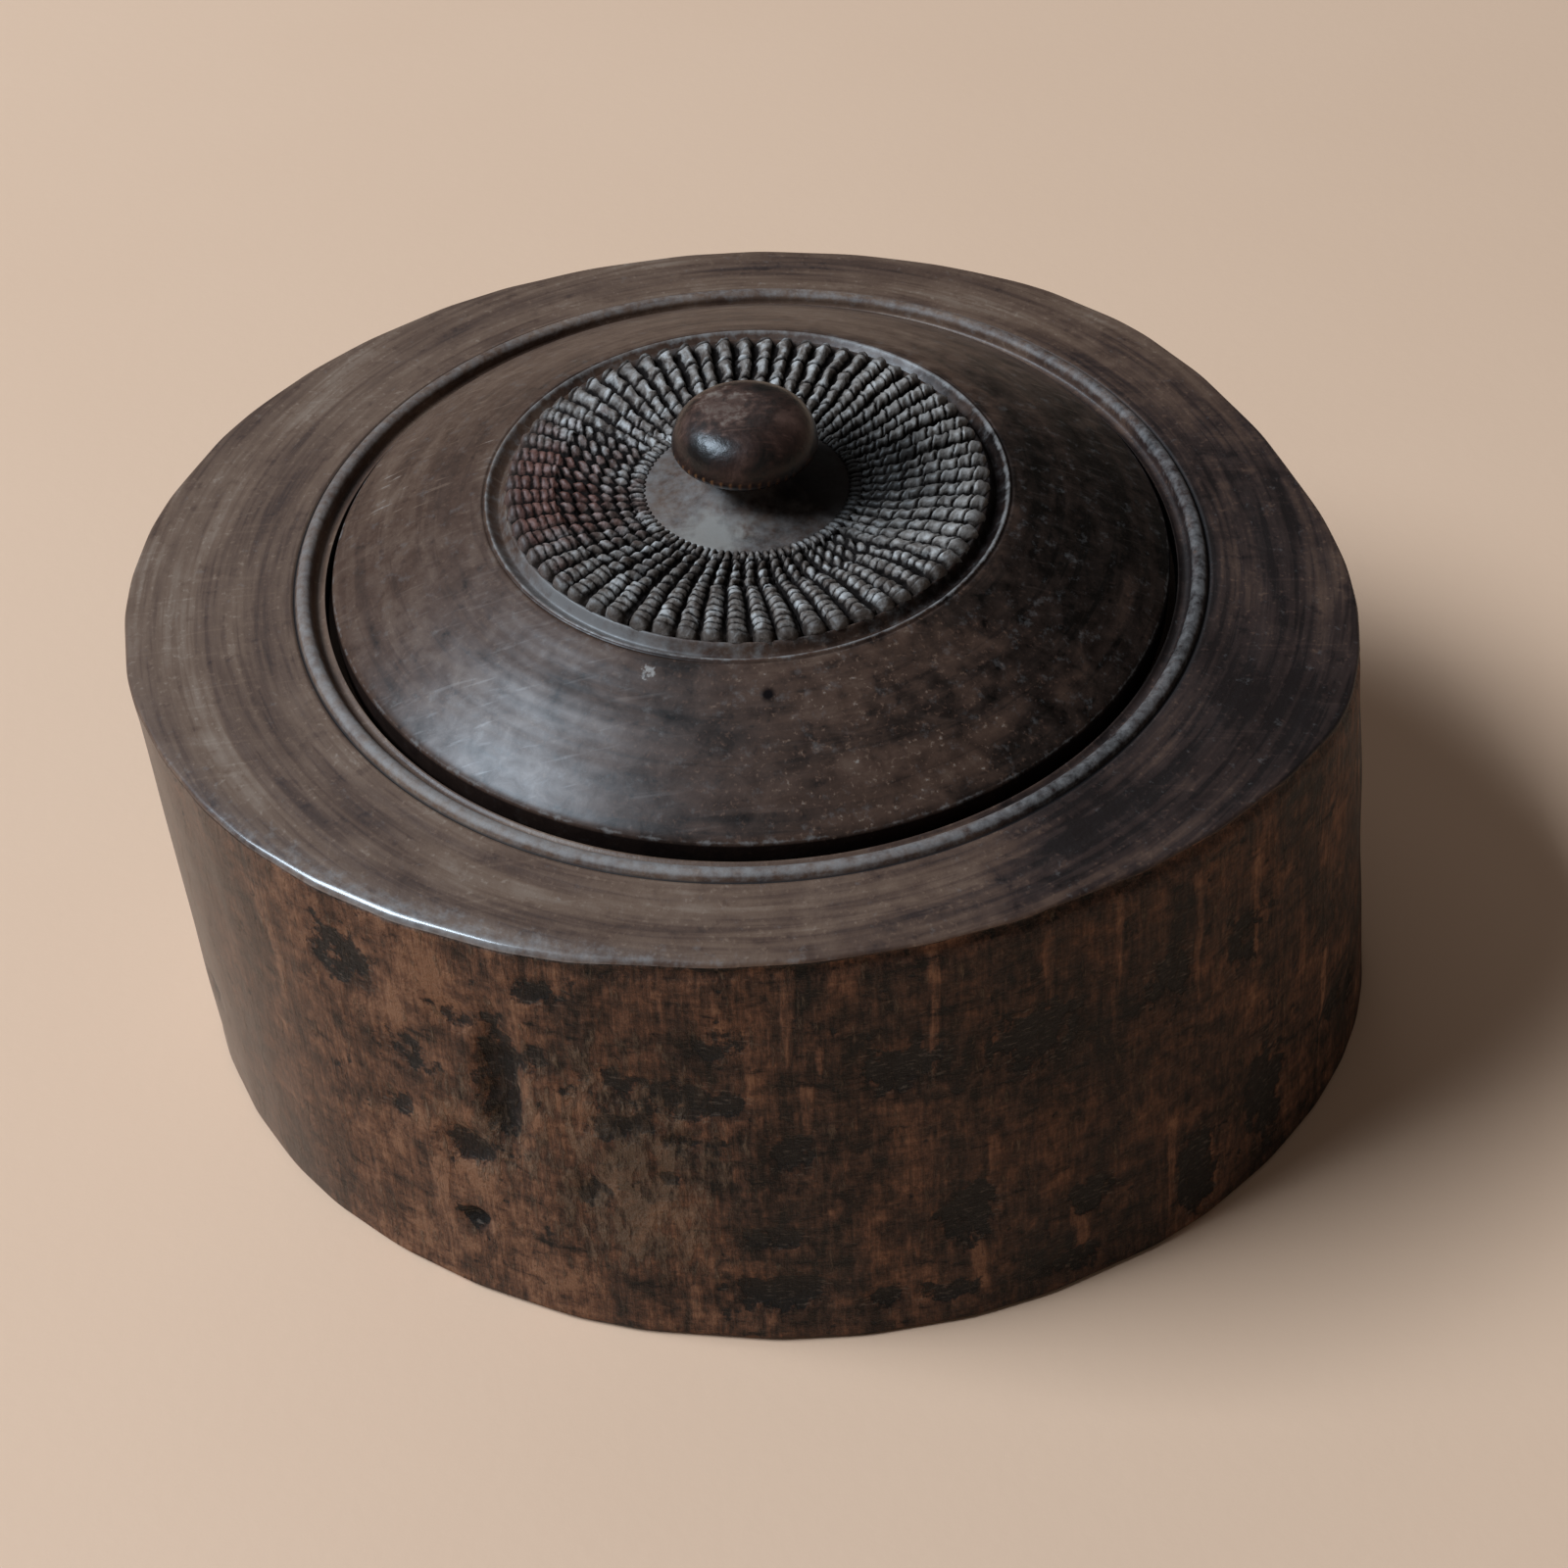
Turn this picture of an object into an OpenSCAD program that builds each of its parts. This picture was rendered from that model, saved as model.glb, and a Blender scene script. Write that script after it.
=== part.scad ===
// Wooden box with a lift-off lid: a drum turned at the mouth and hewn oval
// outside, a domed lid with a carved well, and a peg knob in the lid.
// Millimetres, +Z up, origin on the turning axis at the base.

/* [Drum] */
// Height from the base to the crest of the bead round the mouth
drum_height = 94; // [80:1:110]
// Half the outside length at the rim, left to right
rim_half_length = 106.5; // [100:0.5:116]
// Half the outside width at the rim, front to back
rim_half_width = 94; // [90:0.5:104]
// How far the foot of the side stands out beyond the rim
side_flare = 4.5; // [0:0.5:8]
// How far the rim's oval sits left of the turning axis
rim_offset = 1.7; // [0:0.1:4]
// How far the foot's oval sits right of the turning axis
foot_offset = 4.5; // [0:0.1:6]
// Depth of the broad flat hewn at the back of the right end
broad_flat = 6; // [0:0.5:8]
// Height of the corner left at the rim in front of that flat
rim_corner = 2.8; // [0:0.2:3]
// Fall of the top from the bead to the ends of the oval
rim_fall = 3; // [1:0.5:6]
// Number of flats hewn round the side
flat_count = 44; // [32:2:56]
// Most that a flat strays in or out of the even oval
flat_stray = 0.25; // [0:0.05:0.35]
// Width of the bevel worn along the rim's outer edge
worn_bevel = 1.6; // [0.8:0.1:2.4]

/* [Mouth] */
// Radius of the opening that takes the edge of the lid
mouth_radius = 73.4; // [69:0.2:75]
// Depth of the lid's seat below the crest of the bead
seat_depth = 6; // [5:0.5:9]
// Radius of the bead's round section
bead_size = 1.4; // [1:0.1:1.6]
// Distance from the wall of the mouth out to the bead's crest
bead_offset = 3.6; // [3.4:0.1:5]
// Radius of the cove between the bead and the lip of the mouth
cove_size = 1.3; // [0.9:0.1:1.5]
// Depth of the lip of the mouth below the crest
lip_drop = 1.2; // [0.8:0.1:1.6]

/* [Hollow] */
// Radius of the hollow below the seat
hollow_radius = 66; // [54:0.5:67]
// Thickness of the floor
floor_thickness = 14; // [8:0.5:24]
// Radius of the corner where the floor meets the wall
hollow_corner = 14; // [4:1:24]

/* [Lid] */
// Gap between the edge of the lid and the wall of the mouth
lid_gap = 1.4; // [0.6:0.1:2.2]
// Height of the lid's upright edge above its seat
edge_height = 6.4; // [4:0.1:8]
// Radius of the arris that rings the carved well
ring_radius = 44.2; // [42:0.2:50]
// Rise of the arris above the lid's upright edge
ring_rise = 13.6; // [11:0.2:17]
// Depth of the plug that drops into the hollow
plug_depth = 5; // [3:0.5:8]
// Gap between the plug and the wall of the hollow
plug_gap = 0.8; // [0.4:0.1:1.5]
// Width of the flat ring left on the plug's end
plug_land = 8; // [6:0.5:12]
// Height of the dish turned in the underside
dish_height = 13; // [8:0.5:14]

/* [Carved well] */
// Depth of the groove inside the arris
groove_depth = 1.6; // [1:0.1:3]
// Width of the groove across its sloping outer wall
groove_wall = 1.8; // [1.2:0.1:2.6]
// Width of the groove's flat floor
groove_floor = 0.4; // [0.3:0.1:1]
// Width of the smooth slope from the groove up to the ends of the ribs
plinth_slope = 1.1; // [0.6:0.1:1.8]
// Height of the ribs' outer ends above the arris
field_height = 2.4; // [1.8:0.1:3]
// Number of carved ribs
rib_count = 64; // [48:1:72]
// Number of rows stepped across the ribs
row_count = 6; // [4:1:8]
// Height of the step between two rows
row_step = 0.5; // [0.3:0.05:0.7]
// Rise of the carved field from the hub to the outer row
field_rise = 2.2; // [1.4:0.1:2.6]
// Length of the smooth outer end of each rib
finger_length = 8.9; // [7:0.1:10]
// Radius of the rounded end of each rib
finger_round = 1.8; // [1.2:0.1:2.2]
// Depth of the cut between two ribs at their outer ends
rib_depth = 1.9; // [1.4:0.1:2.2]
// Angle across the cut between two ribs
rib_angle = 66; // [50:1:76]
// Radius of the smooth hub
hub_radius = 17.4; // [15:0.2:20]

/* [Knob] */
// Radius of the knob's cap
knob_radius = 12.3; // [10:0.1:14]
// Height of the knob above the hub
knob_height = 16; // [14:0.5:20]
// Height of the cap's crown above its edge
crown_height = 6.4; // [5:0.2:7.5]
// Height of the cap's upright edge
cap_edge = 1.2; // [0.8:0.1:1.8]
// Radius of the neck
neck_radius = 5.6; // [5.2:0.1:7]
// Radius of the foot that sits on the hub
foot_radius = 7; // [6.4:0.1:8.5]
// Radius of the tenon below the foot
tenon_radius = 4.5; // [3.5:0.1:5]
// Length of the tenon
tenon_length = 8.5; // [6:0.5:9]
// Gap between the tenon and its hole, all round
tenon_gap = 0.1; // [0.05:0.05:0.2]

/* [Hidden] */
around = 96;
lap = 0.6;

seat_z = drum_height - seat_depth;
bead_radius = mouth_radius + bead_offset;
rim_top = drum_height - 0.7 * bead_size;
rim_z = rim_top - rim_fall;
rim_slope = rim_fall / (rim_half_length - bead_radius);
blank_radius = rim_half_length + side_flare + foot_offset + 4;

lid_radius = mouth_radius - lid_gap;
edge_z = seat_z + edge_height;
ring_z = edge_z + ring_rise;
dome_z = (lid_radius ^ 2 - ring_radius ^ 2 + edge_z ^ 2 - ring_z ^ 2) / (2 * (edge_z - ring_z));
dome_radius = norm([lid_radius, edge_z - dome_z]);
plug_radius = hollow_radius - plug_gap;
plug_z = seat_z - plug_depth;
dish_reach = plug_radius - plug_land;
dish_radius = (dish_reach ^ 2 + dish_height ^ 2) / (2 * dish_height);

well_z = ring_z - groove_depth;
well_radius = ring_radius - groove_wall;
plinth_radius = well_radius - groove_floor;
field_radius = plinth_radius - plinth_slope;
field_top = ring_z + field_height;
hub_z = ring_z + 0.4;
row_radius = field_radius - finger_length;
row_width = (row_radius - hub_radius) / row_count;
hub_floor = field_top - field_rise - 0.55 * rib_depth;
cut_rise = field_top - rib_depth - hub_floor;
cut_tilt = atan(cut_rise / (field_radius - hub_radius));

knob_top = hub_z + knob_height;
cap_z = knob_top - crown_height;
crown_radius = (knob_radius ^ 2 + crown_height ^ 2) / (2 * crown_height);

// Swell of height 1 about direction mid, fading out over the given spread
function swell(a, mid, spread) = exp(-pow((((a - mid + 540) % 360) - 180) / spread, 2));

// Distance from the axis to the hewn side in direction a, for an oval of
// the given half sizes whose centre is shifted along the length
function reach(a, long, wide, shift) =
    norm([long * cos(a), wide * sin(a)]) + shift * cos(a) - broad_flat * swell(a, 20, 22);

function rim_reach(a) =
    reach(a, rim_half_length, rim_half_width, -rim_offset) + rim_corner * swell(a, -31, 18);

function foot_reach(a) =
    reach(a, rim_half_length + side_flare, rim_half_width + side_flare, foot_offset);

// How far round from direction a the middle of that flat lies
function slip(a) =
    (rim_reach(a + 1) + foot_reach(a + 1) - rim_reach(a - 1) - foot_reach(a - 1)) * 45 / PI;

// Uneven depth of each flat, the same at every build
function stray(i) = flat_stray * sin(137.5 * i) * cos(29 * i);

// Height of the carved field's even surface at radius r
function field_z(r) = field_top - field_rise * (row_radius - r) / (row_radius - hub_radius);

// Half width of each cut, enough for neighbouring flats to meet
flat_half = 2.2 * PI * rim_half_length ^ 2 / (rim_half_width * flat_count);

// Wood taken off outside one hewn flat
module flat_cut(i) {
    a = 360 * i / flat_count;
    foot = foot_reach(a) + stray(i);
    tilt = atan((rim_reach(a) - foot_reach(a)) / rim_z);
    rotate([0, 0, a])
        translate([foot, slip(a), 0])
            rotate([0, tilt, 0])
                translate([0, -flat_half, -lap - 4])
                    cube([blank_radius, 2 * flat_half, drum_height + 12]);
}

// Wood worn off the rim's edge above one flat
module bevel_cut(i) {
    a = 360 * i / flat_count;
    edge = rim_reach(a) + stray(i);
    edge_top = rim_top - rim_slope * (edge - bead_radius);
    rotate([0, 0, a])
        translate([edge - worn_bevel * 0.7, slip(a), edge_top])
            rotate([0, 40, 0])
                translate([-worn_bevel, -flat_half, 0])
                    cube([6 * worn_bevel, 2 * flat_half, 6]);
}

module drum_section() {
    difference() {
        union() {
            polygon([
                [0, 0],
                [blank_radius, 0],
                [blank_radius, rim_top - rim_slope * (blank_radius - bead_radius)],
                [bead_radius, rim_top],
                [bead_radius, drum_height - lip_drop],
                [0, drum_height - lip_drop]
            ]);
            translate([bead_radius, drum_height - bead_size])
                circle(bead_size, $fn = 20);
        }
        translate([bead_radius - bead_size - 0.8 * cove_size, drum_height - lip_drop])
            circle(cove_size, $fn = 16);
        translate([0, seat_z])
            square([mouth_radius, drum_height]);
        hollow_section();
    }
}

module hollow_section() {
    translate([0, floor_thickness])
        square([hollow_radius - hollow_corner, drum_height]);
    translate([0, floor_thickness + hollow_corner])
        square([hollow_radius, drum_height]);
    translate([hollow_radius - hollow_corner, floor_thickness + hollow_corner])
        circle(hollow_corner, $fn = 40);
}

module drum() {
    color([0.24, 0.15, 0.10])
        difference() {
            rotate_extrude($fn = around)
                drum_section();
            for (i = [0 : flat_count - 1])
                flat_cut(i);
            for (i = [0 : flat_count - 1])
                bevel_cut(i);
        }
}

module lid_section() {
    difference() {
        union() {
            intersection() {
                translate([0, dome_z])
                    circle(dome_radius, $fn = 240);
                translate([0, seat_z])
                    square([lid_radius, 2 * ring_rise]);
            }
            translate([0, plug_z])
                square([plug_radius, plug_depth + lap]);
        }
        translate([0, plug_z + dish_height - dish_radius])
            circle(dish_radius, $fn = 240);
        polygon([
            [0, well_z],
            [well_radius, well_z],
            [ring_radius, ring_z],
            [ring_radius, ring_z + ring_rise],
            [0, ring_z + ring_rise]
        ]);
    }
}

// Smooth hub round the knob's foot
module hub_section() {
    polygon([
        [0, well_z - lap],
        [hub_radius + lap, well_z - lap],
        [hub_radius + lap, field_z(hub_radius) - row_step],
        [hub_radius, field_z(hub_radius) - row_step],
        [foot_radius + 1, hub_z],
        [0, hub_z]
    ]);
}

// Rows that step down outwards, then the rounded fingers on their sloping plinth
module field_section() {
    polygon(concat(
        [[hub_radius, well_z - lap]],
        [for (k = [0 : row_count - 1])
            each [
                [hub_radius + row_width * k, field_z(hub_radius + row_width * k) - row_step],
                [hub_radius + row_width * (k + 1), field_z(hub_radius + row_width * (k + 1))]
            ]],
        [
            [row_radius, field_top - row_step],
            [row_radius + row_width, field_top],
            [field_radius - finger_round, field_top],
            [field_radius - finger_round, well_z - lap]
        ]
    ));
    translate([field_radius - finger_round, field_top - finger_round])
        circle(finger_round, $fn = 24);
    polygon([
        [row_radius, well_z - lap],
        [plinth_radius, well_z - lap],
        [plinth_radius, well_z],
        [field_radius, field_top - finger_round],
        [row_radius, field_top - finger_round]
    ]);
}

// V cut between two ribs, rising and deepening from the hub outwards
module rib_cut(i) {
    height = rib_depth + 2;
    side = height * tan(rib_angle / 2);
    rotate([0, 0, 360 * i / rib_count])
        translate([hub_radius, 0, hub_floor])
            rotate([0, -cut_tilt, 0])
                rotate([90, 0, 90])
                    linear_extrude(field_radius - hub_radius + 2)
                        polygon([[0, 0], [side, height], [-side, height]]);
}

module carved_field() {
    difference() {
        rotate_extrude($fn = rib_count)
            field_section();
        for (i = [0 : rib_count - 1])
            rib_cut(i);
    }
}

module lid() {
    color([0.27, 0.21, 0.18])
        difference() {
            union() {
                rotate_extrude($fn = around)
                    lid_section();
                rotate_extrude($fn = around)
                    hub_section();
                carved_field();
            }
            translate([0, 0, hub_z - tenon_length - 0.5])
                cylinder(r = tenon_radius + tenon_gap, h = tenon_length + 2, $fn = 40);
        }
}

module knob_section() {
    intersection() {
        translate([0, knob_top - crown_radius])
            circle(crown_radius, $fn = 80);
        translate([0, cap_z])
            square([knob_radius, 2 * crown_height]);
    }
    polygon([
        [0, hub_z - tenon_length],
        [tenon_radius, hub_z - tenon_length],
        [tenon_radius, hub_z],
        [foot_radius, hub_z],
        [neck_radius, hub_z + 1.6],
        [neck_radius, hub_z + 3.4],
        [knob_radius - 0.8, cap_z - cap_edge - 0.6],
        [knob_radius, cap_z - cap_edge],
        [knob_radius, cap_z],
        [0, cap_z + lap]
    ]);
}

module knob() {
    color([0.20, 0.11, 0.07])
        rotate_extrude($fn = 56)
            knob_section();
}

drum();
lid();
knob();
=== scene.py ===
import math

import bpy
import numpy as np
from mathutils import Matrix, Vector, noise


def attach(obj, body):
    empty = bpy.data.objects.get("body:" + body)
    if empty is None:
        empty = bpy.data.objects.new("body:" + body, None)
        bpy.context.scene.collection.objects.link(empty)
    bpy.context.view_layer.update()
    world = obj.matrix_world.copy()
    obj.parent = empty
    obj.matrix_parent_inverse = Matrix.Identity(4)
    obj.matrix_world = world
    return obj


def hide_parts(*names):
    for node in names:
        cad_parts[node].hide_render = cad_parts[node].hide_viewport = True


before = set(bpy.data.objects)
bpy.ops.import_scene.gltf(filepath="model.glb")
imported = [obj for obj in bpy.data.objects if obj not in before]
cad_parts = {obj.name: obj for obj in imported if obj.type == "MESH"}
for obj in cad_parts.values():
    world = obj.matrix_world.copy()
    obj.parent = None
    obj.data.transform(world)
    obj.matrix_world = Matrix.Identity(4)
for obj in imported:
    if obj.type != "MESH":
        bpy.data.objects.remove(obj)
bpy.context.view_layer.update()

MM = 0.001

# Drum, in millimetres, as in the part's source
DRUM_HEIGHT = 94.0
RIM_HALF_LENGTH = 106.5
RIM_HALF_WIDTH = 94.0
SIDE_FLARE = 4.5
RIM_OFFSET = 1.7
FOOT_OFFSET = 4.5
BROAD_FLAT = 6.0
RIM_CORNER = 2.8
RIM_FALL = 3.0
FLAT_COUNT = 44
FLAT_STRAY = 0.25
FLAT_SOFT = 0.16
MOUTH_RADIUS = 73.4
SEAT_DEPTH = 6.0
BEAD_SIZE = 1.4
BEAD_RADIUS = MOUTH_RADIUS + 3.6
COVE_SIZE = 1.3
LIP_DROP = 1.2
HOLLOW_RADIUS = 66.0
FLOOR_THICKNESS = 14.0
HOLLOW_CORNER = 14.0
SEAT_Z = DRUM_HEIGHT - SEAT_DEPTH
RIM_TOP = DRUM_HEIGHT - 0.7 * BEAD_SIZE
RIM_Z = RIM_TOP - RIM_FALL
RIM_SLOPE = RIM_FALL / (RIM_HALF_LENGTH - BEAD_RADIUS)

# Lid, in millimetres
LID_RADIUS = MOUTH_RADIUS - 1.4
EDGE_Z = SEAT_Z + 6.4
RING_RADIUS = 44.2
RING_Z = EDGE_Z + 13.6
PLUG_RADIUS = HOLLOW_RADIUS - 0.8
PLUG_Z = SEAT_Z - 5.0
DISH_REACH = PLUG_RADIUS - 8.0
DISH_HEIGHT = 13.0
WELL_Z = RING_Z - 1.6
WELL_RADIUS = RING_RADIUS - 1.8
PLINTH_RADIUS = WELL_RADIUS - 0.4
FIELD_RADIUS = PLINTH_RADIUS - 1.1
FIELD_TOP = RING_Z + 2.4
FIELD_RISE = 2.2
ROW_RADIUS = FIELD_RADIUS - 8.9
HUB_RADIUS = 17.4
HUB_Z = RING_Z + 0.4
HUB_MOUND = 1.5
RIB_COUNT = 64
RIB_DEPTH = 1.9
FINGER_ROUND = 1.8
FRONT_FINGER = 28.4
SIDE_FINGER = 32.4
TICK_COUNT = 92

# Knob, in millimetres
KNOB_RADIUS = 12.3
KNOB_TOP = HUB_Z + 16.0
CAP_Z = KNOB_TOP - 6.4
CAP_EDGE = 1.2
NECK_RADIUS = 5.6
FOOT_RADIUS = 7.0
TENON_RADIUS = 4.5
TENON_LENGTH = 8.5

# Fineness of the meshes: columns round each turned piece, steps along and across a rib
DRUM_COLUMNS = 600
LID_COLUMNS = 384
KNOB_COLUMNS = 192
RIB_STEPS = 96
RIB_ACROSS = 13

# Material slots of the drum and of the lid, and the values painted on the drum
HEWN, RIM, INSIDE = 0, 1, 2
DOME, UNDERSIDE = 0, 1
DRUM_MARKS = ("rust", "ridge", "hollow", "rough", "edge", "crease", "smooth")

# Hollows and streaks on the far side: how many of each, and the seeds they are drawn with
FAR_HOLLOWS = 22
FAR_STREAKS = 26
HOLLOW_SEED = 7
STREAK_SEED = 11

# Ways of carving other than the left side's: direction, and where each begins and is full
CARVING_WAYS = {
    "front": ((0.17, -0.985, 0.0), 0.78, 0.86),
    "back": ((-0.17, 0.985, 0.0), 0.64, 0.74),
    "right": ((0.996, 0.087, 0.0), 0.64, 0.74),
}

# Lean of the ribs: direction of the strongest lean, and the radius from which they lean
LEAN_WAY = (0.9, -0.43, 0.0)
LEAN_FROM = 26.0

# Painted amount at which a mask is half on
WORN_THROUGH = 0.52

# Painted shadow of the knob, dark beside it on the hub and the ribs: place and size in metres
KNOB_SHADOW_PLACE = (0.0175, 0.0015, 0.109)
KNOB_SHADOW_SIZE = 0.019

# Camera: yaw, pitch and roll in degrees, place in metres, lens and sensor in millimetres
CAMERA_TURNS = (0.607, 44.306, -2.367)
CAMERA_PLACE = (0.0, -0.39156, 0.41903)
LENS_LENGTH = 67.5
SENSOR_WIDTH = 36.0

# Sooty hollows on the side: direction, height, half width, half height, depth and blackness
HOLLOWS = [
    (-117, 57, 3.2, 13, 2.4, 1.0),
    (-121.5, 39, 4.2, 4, 1.4, 0.95),
    (-127, 58, 5.0, 4, 0.6, 0.6),
    (-133, 75, 6.0, 6, 0.6, 0.7),
    (-121, 71, 3.4, 3.0, 0.6, 0.75),
    (-112, 82, 4.2, 2.2, 0.4, 0.75),
    (-113.2, 66, 2.2, 4.0, 0.5, 0.6),
    (-105.5, 53, 6.0, 2.6, 0.5, 0.8),
    (-99.5, 50, 3.0, 2.0, 0.5, 0.7),
    (-101, 41, 2.0, 1.5, 0.5, 0.8),
    (-108.5, 36, 2.2, 3.0, 0.5, 0.7),
    (-129, 44, 3.0, 2.4, 0.5, 0.7),
    (-121.6, 20, 2.2, 2.0, 2.0, 1.0),
    (-106, 62, 7.0, 4, 0.5, 0.6),
    (-97.5, 60, 7.5, 4.5, 0.5, 0.7),
    (-95, 73, 5.0, 4, 0.4, 0.5),
    (-90.6, 13, 7.5, 3.4, 0.9, 1.0),
    (-91, 27, 6.0, 2.6, 0.5, 0.75),
    (-89, 48, 3.4, 4.5, 0.4, 0.7),
    (-80.4, 10, 3.6, 2.2, 0.7, 0.95),
    (-74.5, 9, 5.0, 2.6, 0.4, 0.7),
    (-71.6, 27, 4.4, 6.0, 0.7, 1.0),
    (-78, 65, 6.0, 5.0, 0.5, 0.75),
    (-65, 64, 7.0, 6.0, 0.5, 0.85),
    (-59, 22, 3.8, 3.6, 0.5, 0.9),
    (-60.5, 7, 5.5, 2.2, 0.5, 0.85),
    (-50.3, 64, 4.5, 6.5, 0.4, 0.75),
    (-41.3, 63, 4.5, 6.5, 0.4, 0.7),
    (-46.9, 13, 4.0, 10.5, 0.8, 1.0),
    (-37.4, 20, 4.5, 13.0, 0.8, 1.0),
]

# Rusty streaks where the ridges are rubbed: direction, lower and upper end, half width
STREAK_LINES = [
    (-142, 54, 82, 3.0),
    (-119.5, 62, 72, 1.6),
    (-114, 48, 66, 1.6),
    (-125, 18, 33, 2.4),
    (-99, 3, 14, 3.0),
    (-88.7, 66, 89, 1.8),
    (-87, 50, 64, 1.4),
    (-85.7, 63, 72, 1.3),
    (-75, 60, 92, 1.6),
    (-69, 33, 46, 1.3),
    (-70.7, 5, 22, 2.4),
    (-63.4, 62, 92, 1.8),
    (-60.5, 4, 20, 3.0),
    (-56, 47, 88, 1.2),
    (-50, 2, 31, 1.5),
    (-47.3, 52, 84, 1.5),
    (-44.7, 2, 22, 1.4),
    (-39, 55, 80, 1.3),
    (-28, 8, 40, 1.4),
]


# Mesh making


def lumps(points, size, shift):
    """Smooth noise of about -1 to 1 at each point, in lumps of the given size."""
    spots = points.reshape(-1, 3) / size + shift
    return np.array([noise.noise(Vector(s)) for s in spots]).reshape(points.shape[:-1])


def ramp_up(value, low, high):
    """Soft step from 0 at low to 1 at high."""
    t = np.clip((value - low) / (high - low), 0.0, 1.0)
    return t * t * (3.0 - 2.0 * t)


def swell(angle, middle, spread):
    """Bump of height 1 about a direction, in degrees."""
    return np.exp(-((((angle - middle + 540.0) % 360.0) - 180.0) / spread) ** 2)


def turned(profile, columns):
    """Loops of points round the axis for a list of radius and height pairs."""
    angle = np.radians(np.arange(columns) * 360.0 / columns)
    section = np.asarray(profile, float)
    x = section[:, :1] * np.cos(angle)
    y = section[:, :1] * np.sin(angle)
    z = np.repeat(section[:, 1:2], columns, axis=1)
    return np.stack([x, y, z], -1)


def arc(radius, height, size, start, end, steps):
    """Points of a circle in the section, between two angles in degrees."""
    turn = np.radians(np.linspace(start, end, steps))
    return [(radius + size * math.cos(t), height + size * math.sin(t)) for t in turn]


def skin(name, start, loops, end, zones=None, marks=None):
    """Closed mesh through loops of points, from the pole start to the pole end.

    zones gives the material slot of each band of faces, and marks holds
    painted values with one number for each point of the loops.
    """
    rows, columns = loops.shape[:2]
    points = np.vstack([[start], loops.reshape(-1, 3), [end]]) * MM
    here = 1 + np.arange(rows * columns).reshape(rows, columns)
    beside = np.roll(here, -1, axis=1)
    last = rows * columns + 1
    faces = [(0, b, a) for a, b in zip(here[0].tolist(), beside[0].tolist())]
    bands = np.stack([here[:-1], beside[:-1], beside[1:], here[1:]], -1)
    faces += [tuple(f) for f in bands.reshape(-1, 4).tolist()]
    faces += [(a, b, last) for a, b in zip(here[-1].tolist(), beside[-1].tolist())]
    mesh = bpy.data.meshes.new(name)
    mesh.from_pydata(points.tolist(), [], faces)
    mesh.polygons.foreach_set("use_smooth", [True] * len(faces))
    if zones is not None:
        mesh.polygons.foreach_set("material_index", np.repeat(zones, columns).tolist())
    for mark, values in (marks or {}).items():
        flat = np.concatenate([[values[0].mean()], values.reshape(-1), [values[-1].mean()]])
        layer = mesh.attributes.new(mark, "FLOAT", "POINT")
        layer.data.foreach_set("value", flat.astype(np.float32))
    mesh.update()
    return mesh


def piece(name, mesh, body, slot, *materials):
    """Object for a finished mesh that moves with a body of the frame."""
    for material in materials:
        mesh.materials.append(material)
    made = bpy.data.objects.new(name, mesh)
    bpy.context.scene.collection.objects.link(made)
    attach(made, body)
    return made


# Shader node helpers


def put(tree, kind, wires=None, **settings):
    """Adds a node, sets its properties, and wires or sets its inputs."""
    node = tree.nodes.new(kind)
    for key, value in settings.items():
        setattr(node, key, value)
    for key, value in (wires or {}).items():
        if isinstance(value, bpy.types.NodeSocket):
            tree.links.new(value, node.inputs[key])
        else:
            node.inputs[key].default_value = value
    return node


def math_node(tree, operation, a, b=0.0):
    """Arithmetic on one or two values."""
    return put(tree, "ShaderNodeMath", {0: a, 1: b}, operation=operation).outputs[0]


def vector_node(tree, operation, a, b=None):
    """Vector arithmetic; a length, a distance and a dot product come out as numbers."""
    wires = {0: a}
    if b is not None:
        wires["Scale" if operation == "SCALE" else 1] = b
    node = put(tree, "ShaderNodeVectorMath", wires, operation=operation)
    return node.outputs[1 if operation in ("LENGTH", "DISTANCE", "DOT_PRODUCT") else 0]


def blend(tree, mask, a, b):
    """Colour a where the mask is 0 and colour b where it is 1."""
    wires = {0: mask, 6: a, 7: b}
    return put(tree, "ShaderNodeMix", wires, data_type="RGBA").outputs[2]


def tint(tree, colour, mask, share, paint):
    """Lays a paint over a colour where the mask is, by no more than a share."""
    return blend(tree, math_node(tree, "MULTIPLY", mask, share), colour, paint)


def stretch(tree, value, low, high, to_low=0.0, to_high=1.0):
    """Clamped change of range."""
    wires = {0: value, 1: low, 2: high, 3: to_low, 4: to_high}
    return put(tree, "ShaderNodeMapRange", wires, clamp=True).outputs[0]


def total(tree, start, *terms):
    """A start value plus each value times its weight."""
    for value, weight in terms:
        wires = {0: value, 1: weight, 2: start}
        start = put(tree, "ShaderNodeMath", wires, operation="MULTIPLY_ADD").outputs[0]
    return start


def tones(tree, value, *stops):
    """Colour for a tone from 0 to 1, between stops of place and colour."""
    node = put(tree, "ShaderNodeValToRGB", {0: value})
    ramp = node.color_ramp
    ramp.elements[0].position = stops[0][0]
    ramp.elements[0].color = stops[0][1]
    ramp.elements[1].position = stops[-1][0]
    ramp.elements[1].color = stops[-1][1]
    for place, colour in stops[1:-1]:
        ramp.elements.new(place).color = colour
    return node.outputs[0]


def scaled(tree, vector, scale):
    """Coordinates stretched by three factors."""
    return put(tree, "ShaderNodeMapping", {0: vector, 3: scale}).outputs[0]


def speckle(tree, vector, scale, detail=4.0, rough=0.55, warp=0.0):
    """Noise from 0 to 1 in spots of every size."""
    wires = {"Vector": vector, "Scale": scale, "Detail": detail, "Roughness": rough, "Distortion": warp}
    return put(tree, "ShaderNodeTexNoise", wires).outputs[0]


VECTOR = "NodeSocketVector"
FLOAT = "NodeSocketFloat"


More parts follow.
